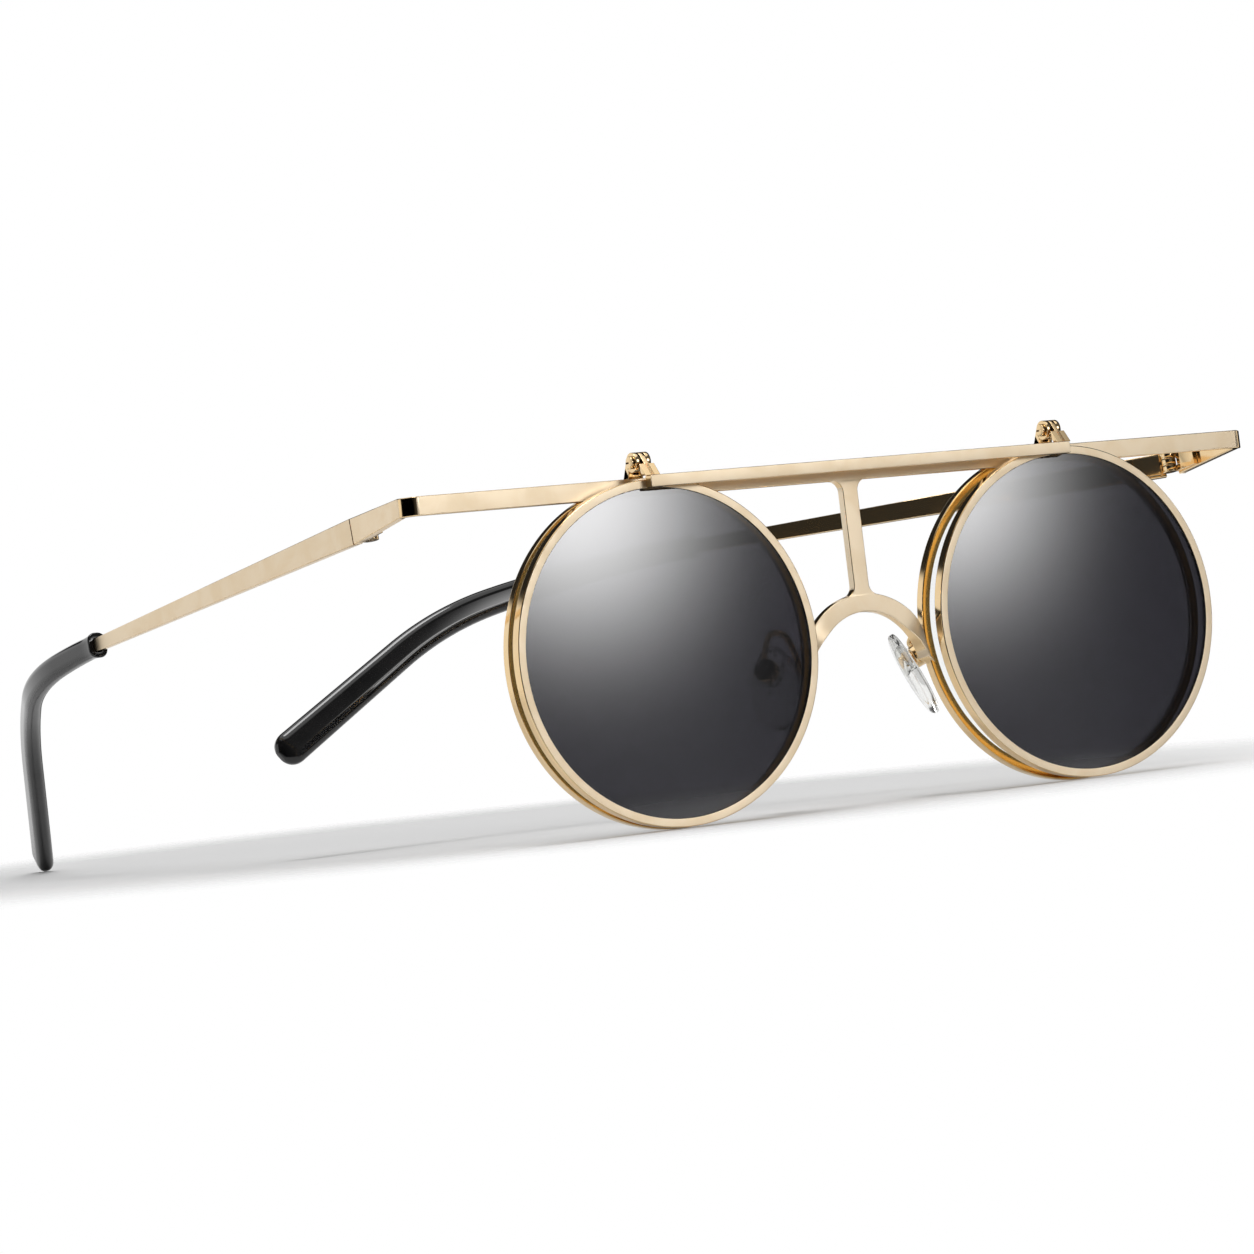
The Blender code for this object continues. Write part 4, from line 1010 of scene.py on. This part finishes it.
def arm_piece(at, side, label, axes, cup_centre):
    """The round wire from the rim, with its solder at the foot and the cup that holds the pad."""
    upward = axes.col[2]
    foot_radius = sizes().lens_radius + sizes().rear_rim_face / 2
    foot_x = side * (at.rear_x - foot_radius * math.cos(ARM_FOOT_ANGLE))
    foot_y = at.rear_back + SOLDER_GAP
    foot_z = foot_radius * math.sin(ARM_FOOT_ANGLE)
    cup_x = side * abs(cup_centre.x)
    middle_y = (foot_y + cup_centre.y) / 2
    knots = [
        Vector((foot_x, foot_y - SOLDER_GAP, foot_z)),
        Vector((foot_x, foot_y + ARM_RADIUS * 2, foot_z + ARM_RADIUS)),
        Vector(((foot_x + cup_x) / 2, middle_y - ARM_REACH / 2, ARM_RISE / 2)),
        Vector((cup_x, middle_y + ARM_REACH / 2, ARM_RISE)),
        cup_centre + upward * (CUP_RADIUS + ARM_RADIUS) + Vector((0, 0, ARM_RADIUS)),
        cup_centre + upward * (CUP_RADIUS - CUP_WALL / 2),
    ]
    places = wire_places(smooth_path(knots, ARM_STEPS))
    bm = bmesh.new()
    made = bmesh.ops.create_circle(
        bm, cap_ends=True, segments=ARM_SEGMENTS, radius=ARM_RADIUS, matrix=places[0]
    )
    sweep(bm, made["verts"][0].link_faces[0], places)
    bmesh.ops.create_uvsphere(
        bm,
        u_segments=ARM_SEGMENTS,
        v_segments=SOLDER_RINGS,
        radius=ARM_RADIUS * SOLDER_RADIUS_SHARE,
        matrix=Matrix.Translation(knots[0]) @ Matrix.Diagonal((1, SOLDER_DEPTH_SHARE, 1, 1)),
    )
    cup = bmesh.new()
    bmesh.ops.create_cone(
        cup, cap_ends=True, segments=BARREL_STEPS, radius1=CUP_RADIUS, radius2=CUP_RADIUS, depth=CUP_LENGTH
    )
    caps = (face for face in cup.faces if len(face.verts) > 4)
    top = max(caps, key=lambda face: face.calc_center_median().z)
    bmesh.ops.inset_region(cup, faces=[top], thickness=CUP_WALL, use_even_offset=True, use_boundary=True)
    push(cup, [top], shift(z=CUP_WALL - CUP_LENGTH))
    rims = [edge for edge in cup.edges if edge.is_manifold and edge.calc_face_angle() > CUP_EDGE_ANGLE]
    rounded(cup, rims, FINE_ROUNDING)
    bmesh.ops.transform(cup, matrix=pad_place(axes, cup_centre), verts=cup.verts)
    join(bm, cup)
    stand_for(bm, "pad_arm_" + label, at.stand, ("polished_gold",))


def pad_piece(label, place):
    """A clear teardrop pad: crowned to the nose, nearly flat behind, wider below."""
    s = sizes()
    bm = bmesh.new()
    bmesh.ops.create_uvsphere(bm, u_segments=PAD_SEGMENTS[0], v_segments=PAD_SEGMENTS[1], radius=1)
    for vert in bm.verts:
        x, y, z = vert.co
        width = s.pad_width / 2 * (1 - PAD_TAPER_SHARE * z)
        thickness = PAD_FRONT_THICKNESS if x > 0 else PAD_BACK_THICKNESS
        crown = math.copysign(abs(x) ** PAD_CROWN_POWER, x)
        vert.co = (thickness * crown, y * width, z * s.pad_height / 2)
    bmesh.ops.smooth_vert(
        bm, verts=bm.verts, factor=PAD_SMOOTHING, use_axis_x=True, use_axis_y=False, use_axis_z=False
    )
    stand_for(bm, "nose_pad_" + label, place, ("clear_silicone",), flat_faces=False)


def insert_piece(label, place, back_face):
    """The disc in the pad, with the metal boss that the cup holds."""
    bm = bmesh.new()
    rod(bm, INSERT_RADIUS, back_face, back_face + INSERT_THICKNESS)
    paint(bm, lambda face: 1)
    boss = bmesh.new()
    rod(boss, BOSS_RADIUS, 0, back_face + INSERT_THICKNESS / 2)
    join(bm, boss)
    stand_for(bm, "pad_insert_" + label, place, ("screw_gold", "clear_silicone"))


class GLASSES_OT_nose_pads(bpy.types.Operator):
    """Makes the nose pad arms, the clear pads and their inserts"""

    bl_idname = "glasses.nose_pads"
    bl_label = "Nose pads and arms"

    def execute(self, context):
        at = layout()
        back_face = CUP_LENGTH / 2 + CUP_RADIUS * math.tan(PAD_ROCK) + LENS_GAP
        for side, label in SIDES:
            axes = pad_axes(side)
            cup_x = side * (REAR_RIM_TO_MIDDLE + CUP_BESIDE_RIM)
            centre = Vector((cup_x, at.rear_back + CUP_BEHIND_RIM, -CUP_BELOW_CENTRE))
            pad_shift = axes.col[0] * (back_face + PAD_BACK_THICKNESS) - axes.col[2] * CUP_ABOVE_PAD_CENTRE
            arm_piece(at, side, label, axes, centre)
            pad_piece(label, at.stand @ (Matrix.Translation(centre + pad_shift) @ axes.to_4x4()))
            insert_piece(label, at.stand @ pad_place(axes, centre), back_face)
        return {"FINISHED"}


def knuckle_spans(length, count, owner):
    """The owner's knuckles, every second one, as (low, high) along the pin."""
    pitch = (length + KNUCKLE_GAP) / count
    low = -length / 2
    return [(low + i * pitch, low + (i + 1) * pitch - KNUCKLE_GAP) for i in range(owner, count, 2)]


def flip_leaf(node, place, foot, foot_width, tangent, owner):
    """A leg from its foot to the barrel, with fingers that lap round its own knuckles."""
    direction = math.copysign(1, foot.x)
    touch = Vector((math.cos(tangent) * direction, math.sin(tangent))) * FLIP_BARREL_RADIUS
    inner = touch * (1 - FLIP_LEG_THICKNESS / FLIP_BARREL_RADIUS)
    inner_foot = Vector((foot.x - direction * foot_width, foot.y))
    cut_outer = between(foot, touch, FINGER_OUTER_SHARE)
    cut_inner = between(inner_foot, inner, FINGER_INNER_SHARE)
    bm = bmesh.new()
    half = FLIP_HINGE_WIDTH / 2
    plate(bm, (foot, cut_outer, cut_inner, inner_foot), -half, half)
    for low, high in knuckle_spans(FLIP_HINGE_WIDTH, FLIP_KNUCKLES, owner):
        plate(bm, (foot, touch, inner, inner_foot), low, high)
        rod(bm, FLIP_BARREL_RADIUS, low, high)
    stand_for(bm, node, place, ("polished_gold",))


def screw_piece(node, place, radius, head_radius, length):
    """A shoulder screw along local Z, a slot across its head at the positive end."""
    seat = length / 2 + LENS_GAP
    bm = bmesh.new()
    rod(bm, radius, -length / 2, seat + HEAD_THICKNESS / 2)
    head = bmesh.new()
    rod(head, head_radius, seat, seat + HEAD_THICKNESS, HEAD_ROUNDING)
    for offset in (-SLOT_WIDTH / 2, SLOT_WIDTH / 2):
        geom = head.verts[:] + head.edges[:] + head.faces[:]
        bmesh.ops.bisect_plane(head, geom=geom, dist=WELD, plane_co=(0, offset, 0), plane_no=(0, 1, 0))
    tops = [face for face in head.faces if face.normal.z > FACING_LIMIT]
    slot = [face for face in tops if abs(face.calc_center_median().y) < SLOT_WIDTH / 2]
    push(head, slot, shift(z=-SLOT_DEPTH))
    join(bm, head)
    stand_for(bm, node, place, ("screw_gold",))


class GLASSES_OT_flip_hinges(bpy.types.Operator):
    """Makes the two hinges of the flip front: feet, legs, barrels and slotted screws"""

    bl_idname = "glasses.flip_hinges"
    bl_label = "Flip hinges"

    def execute(self, context):
        at = layout()
        y, z = at.flip_pivot.y, at.flip_pivot.z
        foot_z = at.bar_top - z
        rear_y = at.bar_front + sizes().bar_thickness + FLIP_LEG_THICKNESS / 2 - y
        rear_foot = Vector((rear_y, foot_z))
        front_foot = Vector((-FLIP_BAR_THICKNESS * FLIP_FOOT_SHARE - y, foot_z))
        leaves = (
            ("flip_hinge_base_", rear_foot, FLIP_LEG_THICKNESS * 2, FLIP_BASE_TANGENT),
            ("flip_hinge_leaf_", front_foot, FLIP_LEG_THICKNESS * FOOT_FLARE_SHARE, FLIP_LEAF_TANGENT),
        )
        screw = (FLIP_SCREW_RADIUS, FLIP_SCREW_HEAD_RADIUS, FLIP_HINGE_WIDTH)
        for side, label in SIDES:
            place = at.stand @ shift(side * at.flip_hinge_x, y, z) @ AXIS_ALONG_X
            for owner, (name, foot, foot_width, tangent) in enumerate(leaves):
                flip_leaf(name + label, place, foot, foot_width, tangent, owner)
            screw_piece("flip_hinge_screw_" + label, place @ HEAD_OTHER_WAY, *screw)
        return {"FINISHED"}


def temple_point(at, length, side):
    """A place on the temple's centre line at a length from the hinge, in the hinge's axes."""
    back = up = turned = walked = 0.0
    for i, (stretch, turn) in enumerate(TEMPLE_STRETCHES):
        last = i + 1 == len(TEMPLE_STRETCHES)
        part = length - walked if last else min(length - walked, stretch)
        bend = turn * part / stretch
        chord = part * math.sin(bend / 2) / (bend / 2) if bend else part
        heading = turned + bend / 2
        back += chord * math.cos(heading)
        up -= chord * math.sin(heading)
        turned += bend
        walked += part
        if length <= walked:
            break
    past = max(0.0, length - CURL_START)
    eased = min(past, CURL_EASE)
    curled = math.tan(CURL_ANGLE) * (eased * eased / (2 * CURL_EASE) + past - eased)
    outward = at.strip_x + math.tan(TEMPLE_SPLAY) * length - curled
    return Vector((side * outward, back, up))


def temple_place(at, length, side, width=1.0, height=1.0):
    ahead, behind = (temple_point(at, length + step, side) for step in (TANGENT_STEP, -TANGENT_STEP))
    tangent = (ahead - behind).normalized()
    outward = Vector((1, 0, 0))
    outward = (outward - tangent * outward.dot(tangent)).normalized()
    return place_of(temple_point(at, length, side), outward, tangent.cross(outward), width, height)


def lengths(start, end, step=SWEEP_STEP):
    count = max(1, round((end - start) / step))
    return [start + (end - start) * i / count for i in range(count + 1)]


def strip_piece(at, side, label, place):
    """The gold strip from the hinge to the sleeve, and its narrow core inside the sleeve."""
    s = sizes()
    recess_end = TEMPLE_TO_SLEEVE + COLLAR_RECESS
    start = SEAM_GAP / 2

    def sized(length, width, height):
        return temple_place(at, length, side, width / s.bar_thickness, height / END_PIECE_HEIGHT)

    places = []
    for length in lengths(start, TEMPLE_TO_SLEEVE, STRIP_STEP):
        share = (length - start) / (TEMPLE_TO_SLEEVE - start)
        width = between(s.bar_thickness, MOUTH_THICKNESS, share)
        places.append(sized(length, width, between(END_PIECE_HEIGHT, MOUTH_HEIGHT, share)))
    places.append(sized(recess_end - SEAM_GAP, MOUTH_THICKNESS, MOUTH_HEIGHT))
    for length in lengths(recess_end, TEMPLE_LENGTH - CORE_END_MARGIN, CORE_STEP):
        places.append(sized(length, CORE_THICKNESS, CORE_HEIGHT))
    bm = swept(s.bar_thickness, END_PIECE_HEIGHT, places)
    paint(bm, lambda face: side * face.normal.x > FACING_LIMIT)
    stand_for(bm, "temple_" + label, place, ("polished_gold", "satin_gold"))


def sleeve_piece(at, side, label, place):
    """The black sleeve: a flared open mouth, a stretch that widens evenly, and a round end."""
    s = sizes()
    end = TEMPLE_LENGTH - SLEEVE_END_LENGTH
    collar_end = TEMPLE_TO_SLEEVE + COLLAR_LENGTH
    places = []

    def add(length, width, height):
        places.append(temple_place(at, length, side, width / s.sleeve_thickness, height / s.sleeve_height))

    for past, less in COLLAR_LIP:
        flare = COLLAR_FLARE * 2 - less
        add(TEMPLE_TO_SLEEVE + past, s.sleeve_thickness + flare, s.sleeve_height + flare)
    for length in lengths(TEMPLE_TO_SLEEVE + COLLAR_LIP[-1][0], collar_end, COLLAR_STEP)[1:]:
        share = (length - TEMPLE_TO_SLEEVE) / COLLAR_LENGTH
        flare = COLLAR_FLARE * 2 * (1 - share) ** 2
        add(length, s.sleeve_thickness + flare, s.sleeve_height + flare)
    for length in lengths(collar_end, end)[1:]:
        share = (length - collar_end) / (end - collar_end)
        width = between(s.sleeve_thickness, s.sleeve_tip_thickness, share)
        add(length, width, between(s.sleeve_height, s.sleeve_tip_height, share))
    for i in range(1, END_STEPS + 1):
        angle = math.pi / 2 * i / END_STEPS * END_ROUND_SHARE
        height = s.sleeve_tip_height - SLEEVE_END_LENGTH * 2 * (1 - math.cos(angle))
        add(end + SLEEVE_END_LENGTH * math.sin(angle), s.sleeve_tip_thickness * math.cos(angle), height)
    bm = bmesh.new()
    chamfer = s.sleeve_thickness * SLEEVE_CHAMFER_SHARE
    mouth = section(bm, s.sleeve_thickness, s.sleeve_height, chamfer, segments=1)
    mouth = bevel_corners(bm, mouth.verts[:], SLEEVE_EDGE_ROUNDING, CORNER_SEGMENTS)
    bmesh.ops.transform(bm, matrix=places[0], verts=bm.verts)
    sweep(bm, mouth, places)
    bmesh.ops.inset_region(bm, faces=[mouth], thickness=COLLAR_WALL, use_even_offset=True, use_boundary=True)
    deep = temple_place(at, TEMPLE_TO_SLEEVE + COLLAR_RECESS, side, MOUTH_FLOOR_SHARE, MOUTH_FLOOR_SHARE)
    push(bm, [mouth], deep @ temple_place(at, TEMPLE_TO_SLEEVE, side).inverted())
    stand_for(bm, "temple_tip_" + label, place, ("black_acetate",), SLEEVE_SHARP_EDGE)


def temple_leaf(node, place, side, plate_x, inner_x, direction, slope, owner):
    """A hinge plate along the inner face of the strip, with fingers round its own knuckles."""
    clear = HINGE_BARREL_RADIUS - KNUCKLE_GAP
    half = HINGE_HEIGHT / 2
    xs = sorted((side * plate_x, side * inner_x))
    bm = bmesh.new()

    def stretch(near, far, low, high):
        ys = sorted((direction * near, direction * far))
        block(bm, (xs[0], ys[0], low), (xs[1], ys[1], high))

    stretch(clear, HINGE_PLATE_LENGTH, -half, half)
    spans = knuckle_spans(HINGE_HEIGHT, HINGE_KNUCKLES, owner)
    for low, high in spans:
        stretch(SEAM_GAP / 2, clear + FINE_ROUNDING * 2, low, high)
    for vert in bm.verts:
        vert.co.x += side * slope * vert.co.y
    for low, high in spans:
        rod(bm, HINGE_BARREL_RADIUS, low, high)
    stand_for(bm, node, place, ("polished_gold",))


class GLASSES_OT_temples(bpy.types.Operator):
    """Makes both temples: strips, black sleeves, hinge plates and screws"""

    bl_idname = "glasses.temples"
    bl_label = "Temples"

    def execute(self, context):
        at = layout()
        inner_x = at.strip_x - sizes().bar_thickness / 2 - SOLDER_GAP
        plate_x = inner_x - HINGE_PLATE_THICKNESS
        slope = math.tan(TEMPLE_SPLAY)
        screw = (HINGE_SCREW_RADIUS, HINGE_SCREW_HEAD_RADIUS, HINGE_HEIGHT)
        for side, label in SIDES:
            hinge = at.stand @ shift(side * at.hinge_x, at.hinge_y, at.hinge_z)
            fixed = hinge @ Matrix.Rotation(-TEMPLE_DROOP, 4, "X")
            moving = fixed @ Matrix.Rotation(side * REST_FOLDS[label], 4, "Z")
            strip_piece(at, side, label, moving)
            sleeve_piece(at, side, label, moving)
            temple_leaf("temple_hinge_" + label, moving, side, plate_x, inner_x, 1, slope, 1)
            temple_leaf("endpiece_hinge_" + label, fixed, side, plate_x, inner_x, -1, 0.0, 0)
            screw_piece("temple_hinge_screw_" + label, fixed, *screw)
        return {"FINISHED"}


# Stage


def add_floor():
    """A pale disc under the glasses, which keeps their shadow and fades into the white round it."""
    look = new_look("pale_floor")
    cloud = noise(look.tree, look.spot, FLOOR_CLOUD_SCALE, FLOOR_CLOUD_DETAIL)
    vary_colour(look, cloud, colours().floor, FLOOR_CLOUD)
    vary_roughness(look, cloud, *FLOOR_ROUGHNESS)
    look.shader.inputs["Specular IOR Level"].default_value = FLOOR_GLOSS
    inputs = {0: look.spot, 1: FLOOR_FADE_MIDDLE}
    reach = add_node(look.tree, "ShaderNodeVectorMath", inputs, operation="DISTANCE").outputs["Value"]
    fade = remap(look.tree, reach, FLOOR_FADE_START, FLOOR_FADE_END, 1.0, 0.0)
    feed(look.tree, look.shader.inputs["Alpha"], fade)
    bm = bmesh.new()
    bmesh.ops.create_circle(bm, cap_ends=True, segments=FLOOR_STEPS, radius=FLOOR_RADIUS)
    bmesh.ops.recalc_face_normals(bm, faces=bm.faces)
    floor = add_mesh(bm, "floor", [look.material])
    if floor.data.polygons[0].normal.z < 0:
        floor.data.flip_normals()


def add_camera(at):
    """The camera of the picture, in the axes of the glasses, then leant with them."""
    across = math.sin(CAMERA_AZIMUTH) * math.cos(CAMERA_ELEVATION)
    ahead = math.cos(CAMERA_AZIMUTH) * math.cos(CAMERA_ELEVATION)
    back = Vector((-across, -ahead, math.sin(CAMERA_ELEVATION)))
    right = (-back).cross(Vector((0, 0, 1))).normalized()
    up = right.cross(-back)
    turned_right = right * math.cos(CAMERA_ROLL) + up * math.sin(CAMERA_ROLL)
    turned_up = up * math.cos(CAMERA_ROLL) - right * math.sin(CAMERA_ROLL)
    matrix = Matrix((turned_right, turned_up, back)).transposed().to_4x4()
    matrix.translation = CAMERA_TARGET + back * CAMERA_DISTANCE
    data = bpy.data.cameras.new("camera")
    data.sensor_width = SENSOR_WIDTH
    data.lens = FOCAL_LENGTH_IN_PIXELS / PICTURE_WIDTH * SENSOR_WIDTH
    data.clip_start = CLIP_START
    data.clip_end = CLIP_END
    camera = add_object("camera", data)
    camera.matrix_world = at.stand @ matrix
    bpy.context.scene.camera = camera


def add_lamp():
    """The soft round lamp over the glasses, aimed at the floor's middle."""
    data = bpy.data.lights.new("overhead_lamp", "AREA")
    data.shape = "DISK"
    data.size = LAMP_SIZE
    data.energy = LAMP_POWER
    lamp = add_object("overhead_lamp", data)
    lamp.location = LAMP_PLACE
    lamp.rotation_euler = (-LAMP_PLACE).to_track_quat("-Z", "Y").to_euler()


def calculate(tree, operation, first, second=0.0):
    return add_node(tree, "ShaderNodeMath", {0: first, 1: second}, operation=operation).outputs["Value"]


def dot_product(tree, direction, other):
    inputs = {0: direction, 1: other}
    return add_node(tree, "ShaderNodeVectorMath", inputs, operation="DOT_PRODUCT").outputs["Value"]


def facing_mask(tree, direction, facing, inner, outer):
    """How far a direction lies inside a round patch: 1 within the inner angle, 0 past the outer one."""
    dot = dot_product(tree, direction, Vector(facing).normalized())
    return remap(tree, dot, math.cos(math.radians(outer)), math.cos(math.radians(inner)))


def above_mask(tree, direction, elevations):
    """0 below the first elevation, 1 above the second."""
    height = add_node(tree, "ShaderNodeSeparateXYZ", {"Vector": direction}).outputs["Z"]
    return remap(tree, height, *(math.sin(math.radians(elevation)) for elevation in elevations))


def softbox_glow(tree, direction):
    """A bright patch that falls off evenly from its middle."""
    level = math.cos(SOFTBOX_ELEVATION)
    x, y = level * math.sin(SOFTBOX_AZIMUTH), -level * math.cos(SOFTBOX_AZIMUTH)
    dot = dot_product(tree, direction, (x, y, math.sin(SOFTBOX_ELEVATION)))
    angle = calculate(tree, "ARCCOSINE", calculate(tree, "MINIMUM", dot, SOFTBOX_LARGEST_COSINE))
    share = calculate(tree, "POWER", calculate(tree, "DIVIDE", angle, SOFTBOX_SPREAD), SOFTBOX_SHARPNESS)
    glow = calculate(tree, "EXPONENT", calculate(tree, "MULTIPLY", share, -1.0))
    return calculate(tree, "MULTIPLY", glow, SOFTBOX_STRENGTH)


def add_world():
    """A pale studio: white seen directly or through glass, soft panels and dark gaps for the gloss."""
    world = bpy.data.worlds.new("studio")
    bpy.context.scene.world = world
    world.use_nodes = True
    tree = world.node_tree
    direction = add_node(tree, "ShaderNodeTexCoord").outputs["Generated"]
    low = calculate(tree, "SUBTRACT", 1.0, above_mask(tree, direction, BACK_TOP))
    low = calculate(tree, "MULTIPLY", low, BACK_STRENGTH)
    back = facing_mask(tree, direction, BACK_DIRECTION, *BACK_HALF_ANGLES)
    level = calculate(tree, "MAXIMUM", STUDIO_REST, calculate(tree, "MULTIPLY", back, low))
    for facing, inner, outer, brightness in STUDIO_PANELS:
        mask = facing_mask(tree, direction, facing, inner, outer)
        level = calculate(tree, "MAXIMUM", level, calculate(tree, "MULTIPLY", mask, brightness))
    table = calculate(tree, "SUBTRACT", 1.0, above_mask(tree, direction, TABLE_FROM))
    level = calculate(tree, "MAXIMUM", level, calculate(tree, "MULTIPLY", table, TABLE_STRENGTH))
    for facing, inner, outer, depth in STUDIO_DARK:
        mask = calculate(tree, "MULTIPLY", facing_mask(tree, direction, facing, inner, outer), depth)
        level = calculate(tree, "MULTIPLY", level, calculate(tree, "SUBTRACT", 1.0, mask))
    overhead = calculate(tree, "MULTIPLY", above_mask(tree, direction, OVERHEAD_FROM), OVERHEAD_STRENGTH)
    level = calculate(tree, "MAXIMUM", level, overhead)
    level = calculate(tree, "ADD", level, softbox_glow(tree, direction))
    path = add_node(tree, "ShaderNodeLightPath").outputs
    direct = calculate(tree, "MAXIMUM", path["Is Camera Ray"], path["Is Transmission Ray"])
    inputs = {"Factor": direct, "A": level, "B": 1.0}
    choose = add_node(tree, "ShaderNodeMix", inputs, data_type="FLOAT")
    background = tree.nodes["Background"]
    feed(tree, background.inputs["Strength"], choose.outputs["Result"])
    background.inputs["Color"].default_value = (1.0, 1.0, 1.0, 1.0)


class GLASSES_OT_stage(bpy.types.Operator):
    """Makes the pale floor, the studio, its lamp and the camera"""

    bl_idname = "glasses.stage"
    bl_label = "Stage"

    def execute(self, context):
        add_floor()
        add_world()
        add_lamp()
        add_camera(layout())
        context.scene.view_settings.view_transform = "Standard"
        return {"FINISHED"}


class GLASSES_PT_panel(bpy.types.Panel):
    """Lists the steps that make the glasses"""

    bl_label = "Round flip-up glasses"
    bl_idname = "GLASSES_PT_panel"
    bl_space_type = "VIEW_3D"
    bl_region_type = "UI"
    bl_category = "Glasses"

    def draw(self, context):
        column = self.layout.column(align=True)
        for step in STEPS:
            column.operator(step.bl_idname)
        for group in (context.scene.glasses_sizes, context.scene.glasses_colours):
            for name in group.__annotations__:
                self.layout.prop(group, name)


STEPS = (
    GLASSES_OT_rear_rims,
    GLASSES_OT_brow_bar,
    GLASSES_OT_nose_bridge,
    GLASSES_OT_nose_pads,
    GLASSES_OT_flip_rims,
    GLASSES_OT_flip_hinges,
    GLASSES_OT_temples,
    GLASSES_OT_stage,
)
CLASSES = (GlassesSizes, GlassesColours, *STEPS, GLASSES_PT_panel)


def register():
    for cls in CLASSES:
        bpy.utils.register_class(cls)
    bpy.types.Scene.glasses_sizes = PointerProperty(type=GlassesSizes)
    bpy.types.Scene.glasses_colours = PointerProperty(type=GlassesColours)


def unregister():
    del bpy.types.Scene.glasses_colours
    del bpy.types.Scene.glasses_sizes
    for cls in reversed(CLASSES):
        bpy.utils.unregister_class(cls)


def main():
    register()
    bpy.ops.glasses.rear_rims()
    bpy.ops.glasses.brow_bar()
    bpy.ops.glasses.nose_bridge()
    bpy.ops.glasses.nose_pads()
    bpy.ops.glasses.flip_rims()
    bpy.ops.glasses.flip_hinges()
    bpy.ops.glasses.temples()
    bpy.ops.glasses.stage()


if __name__ == "__main__":
    main()
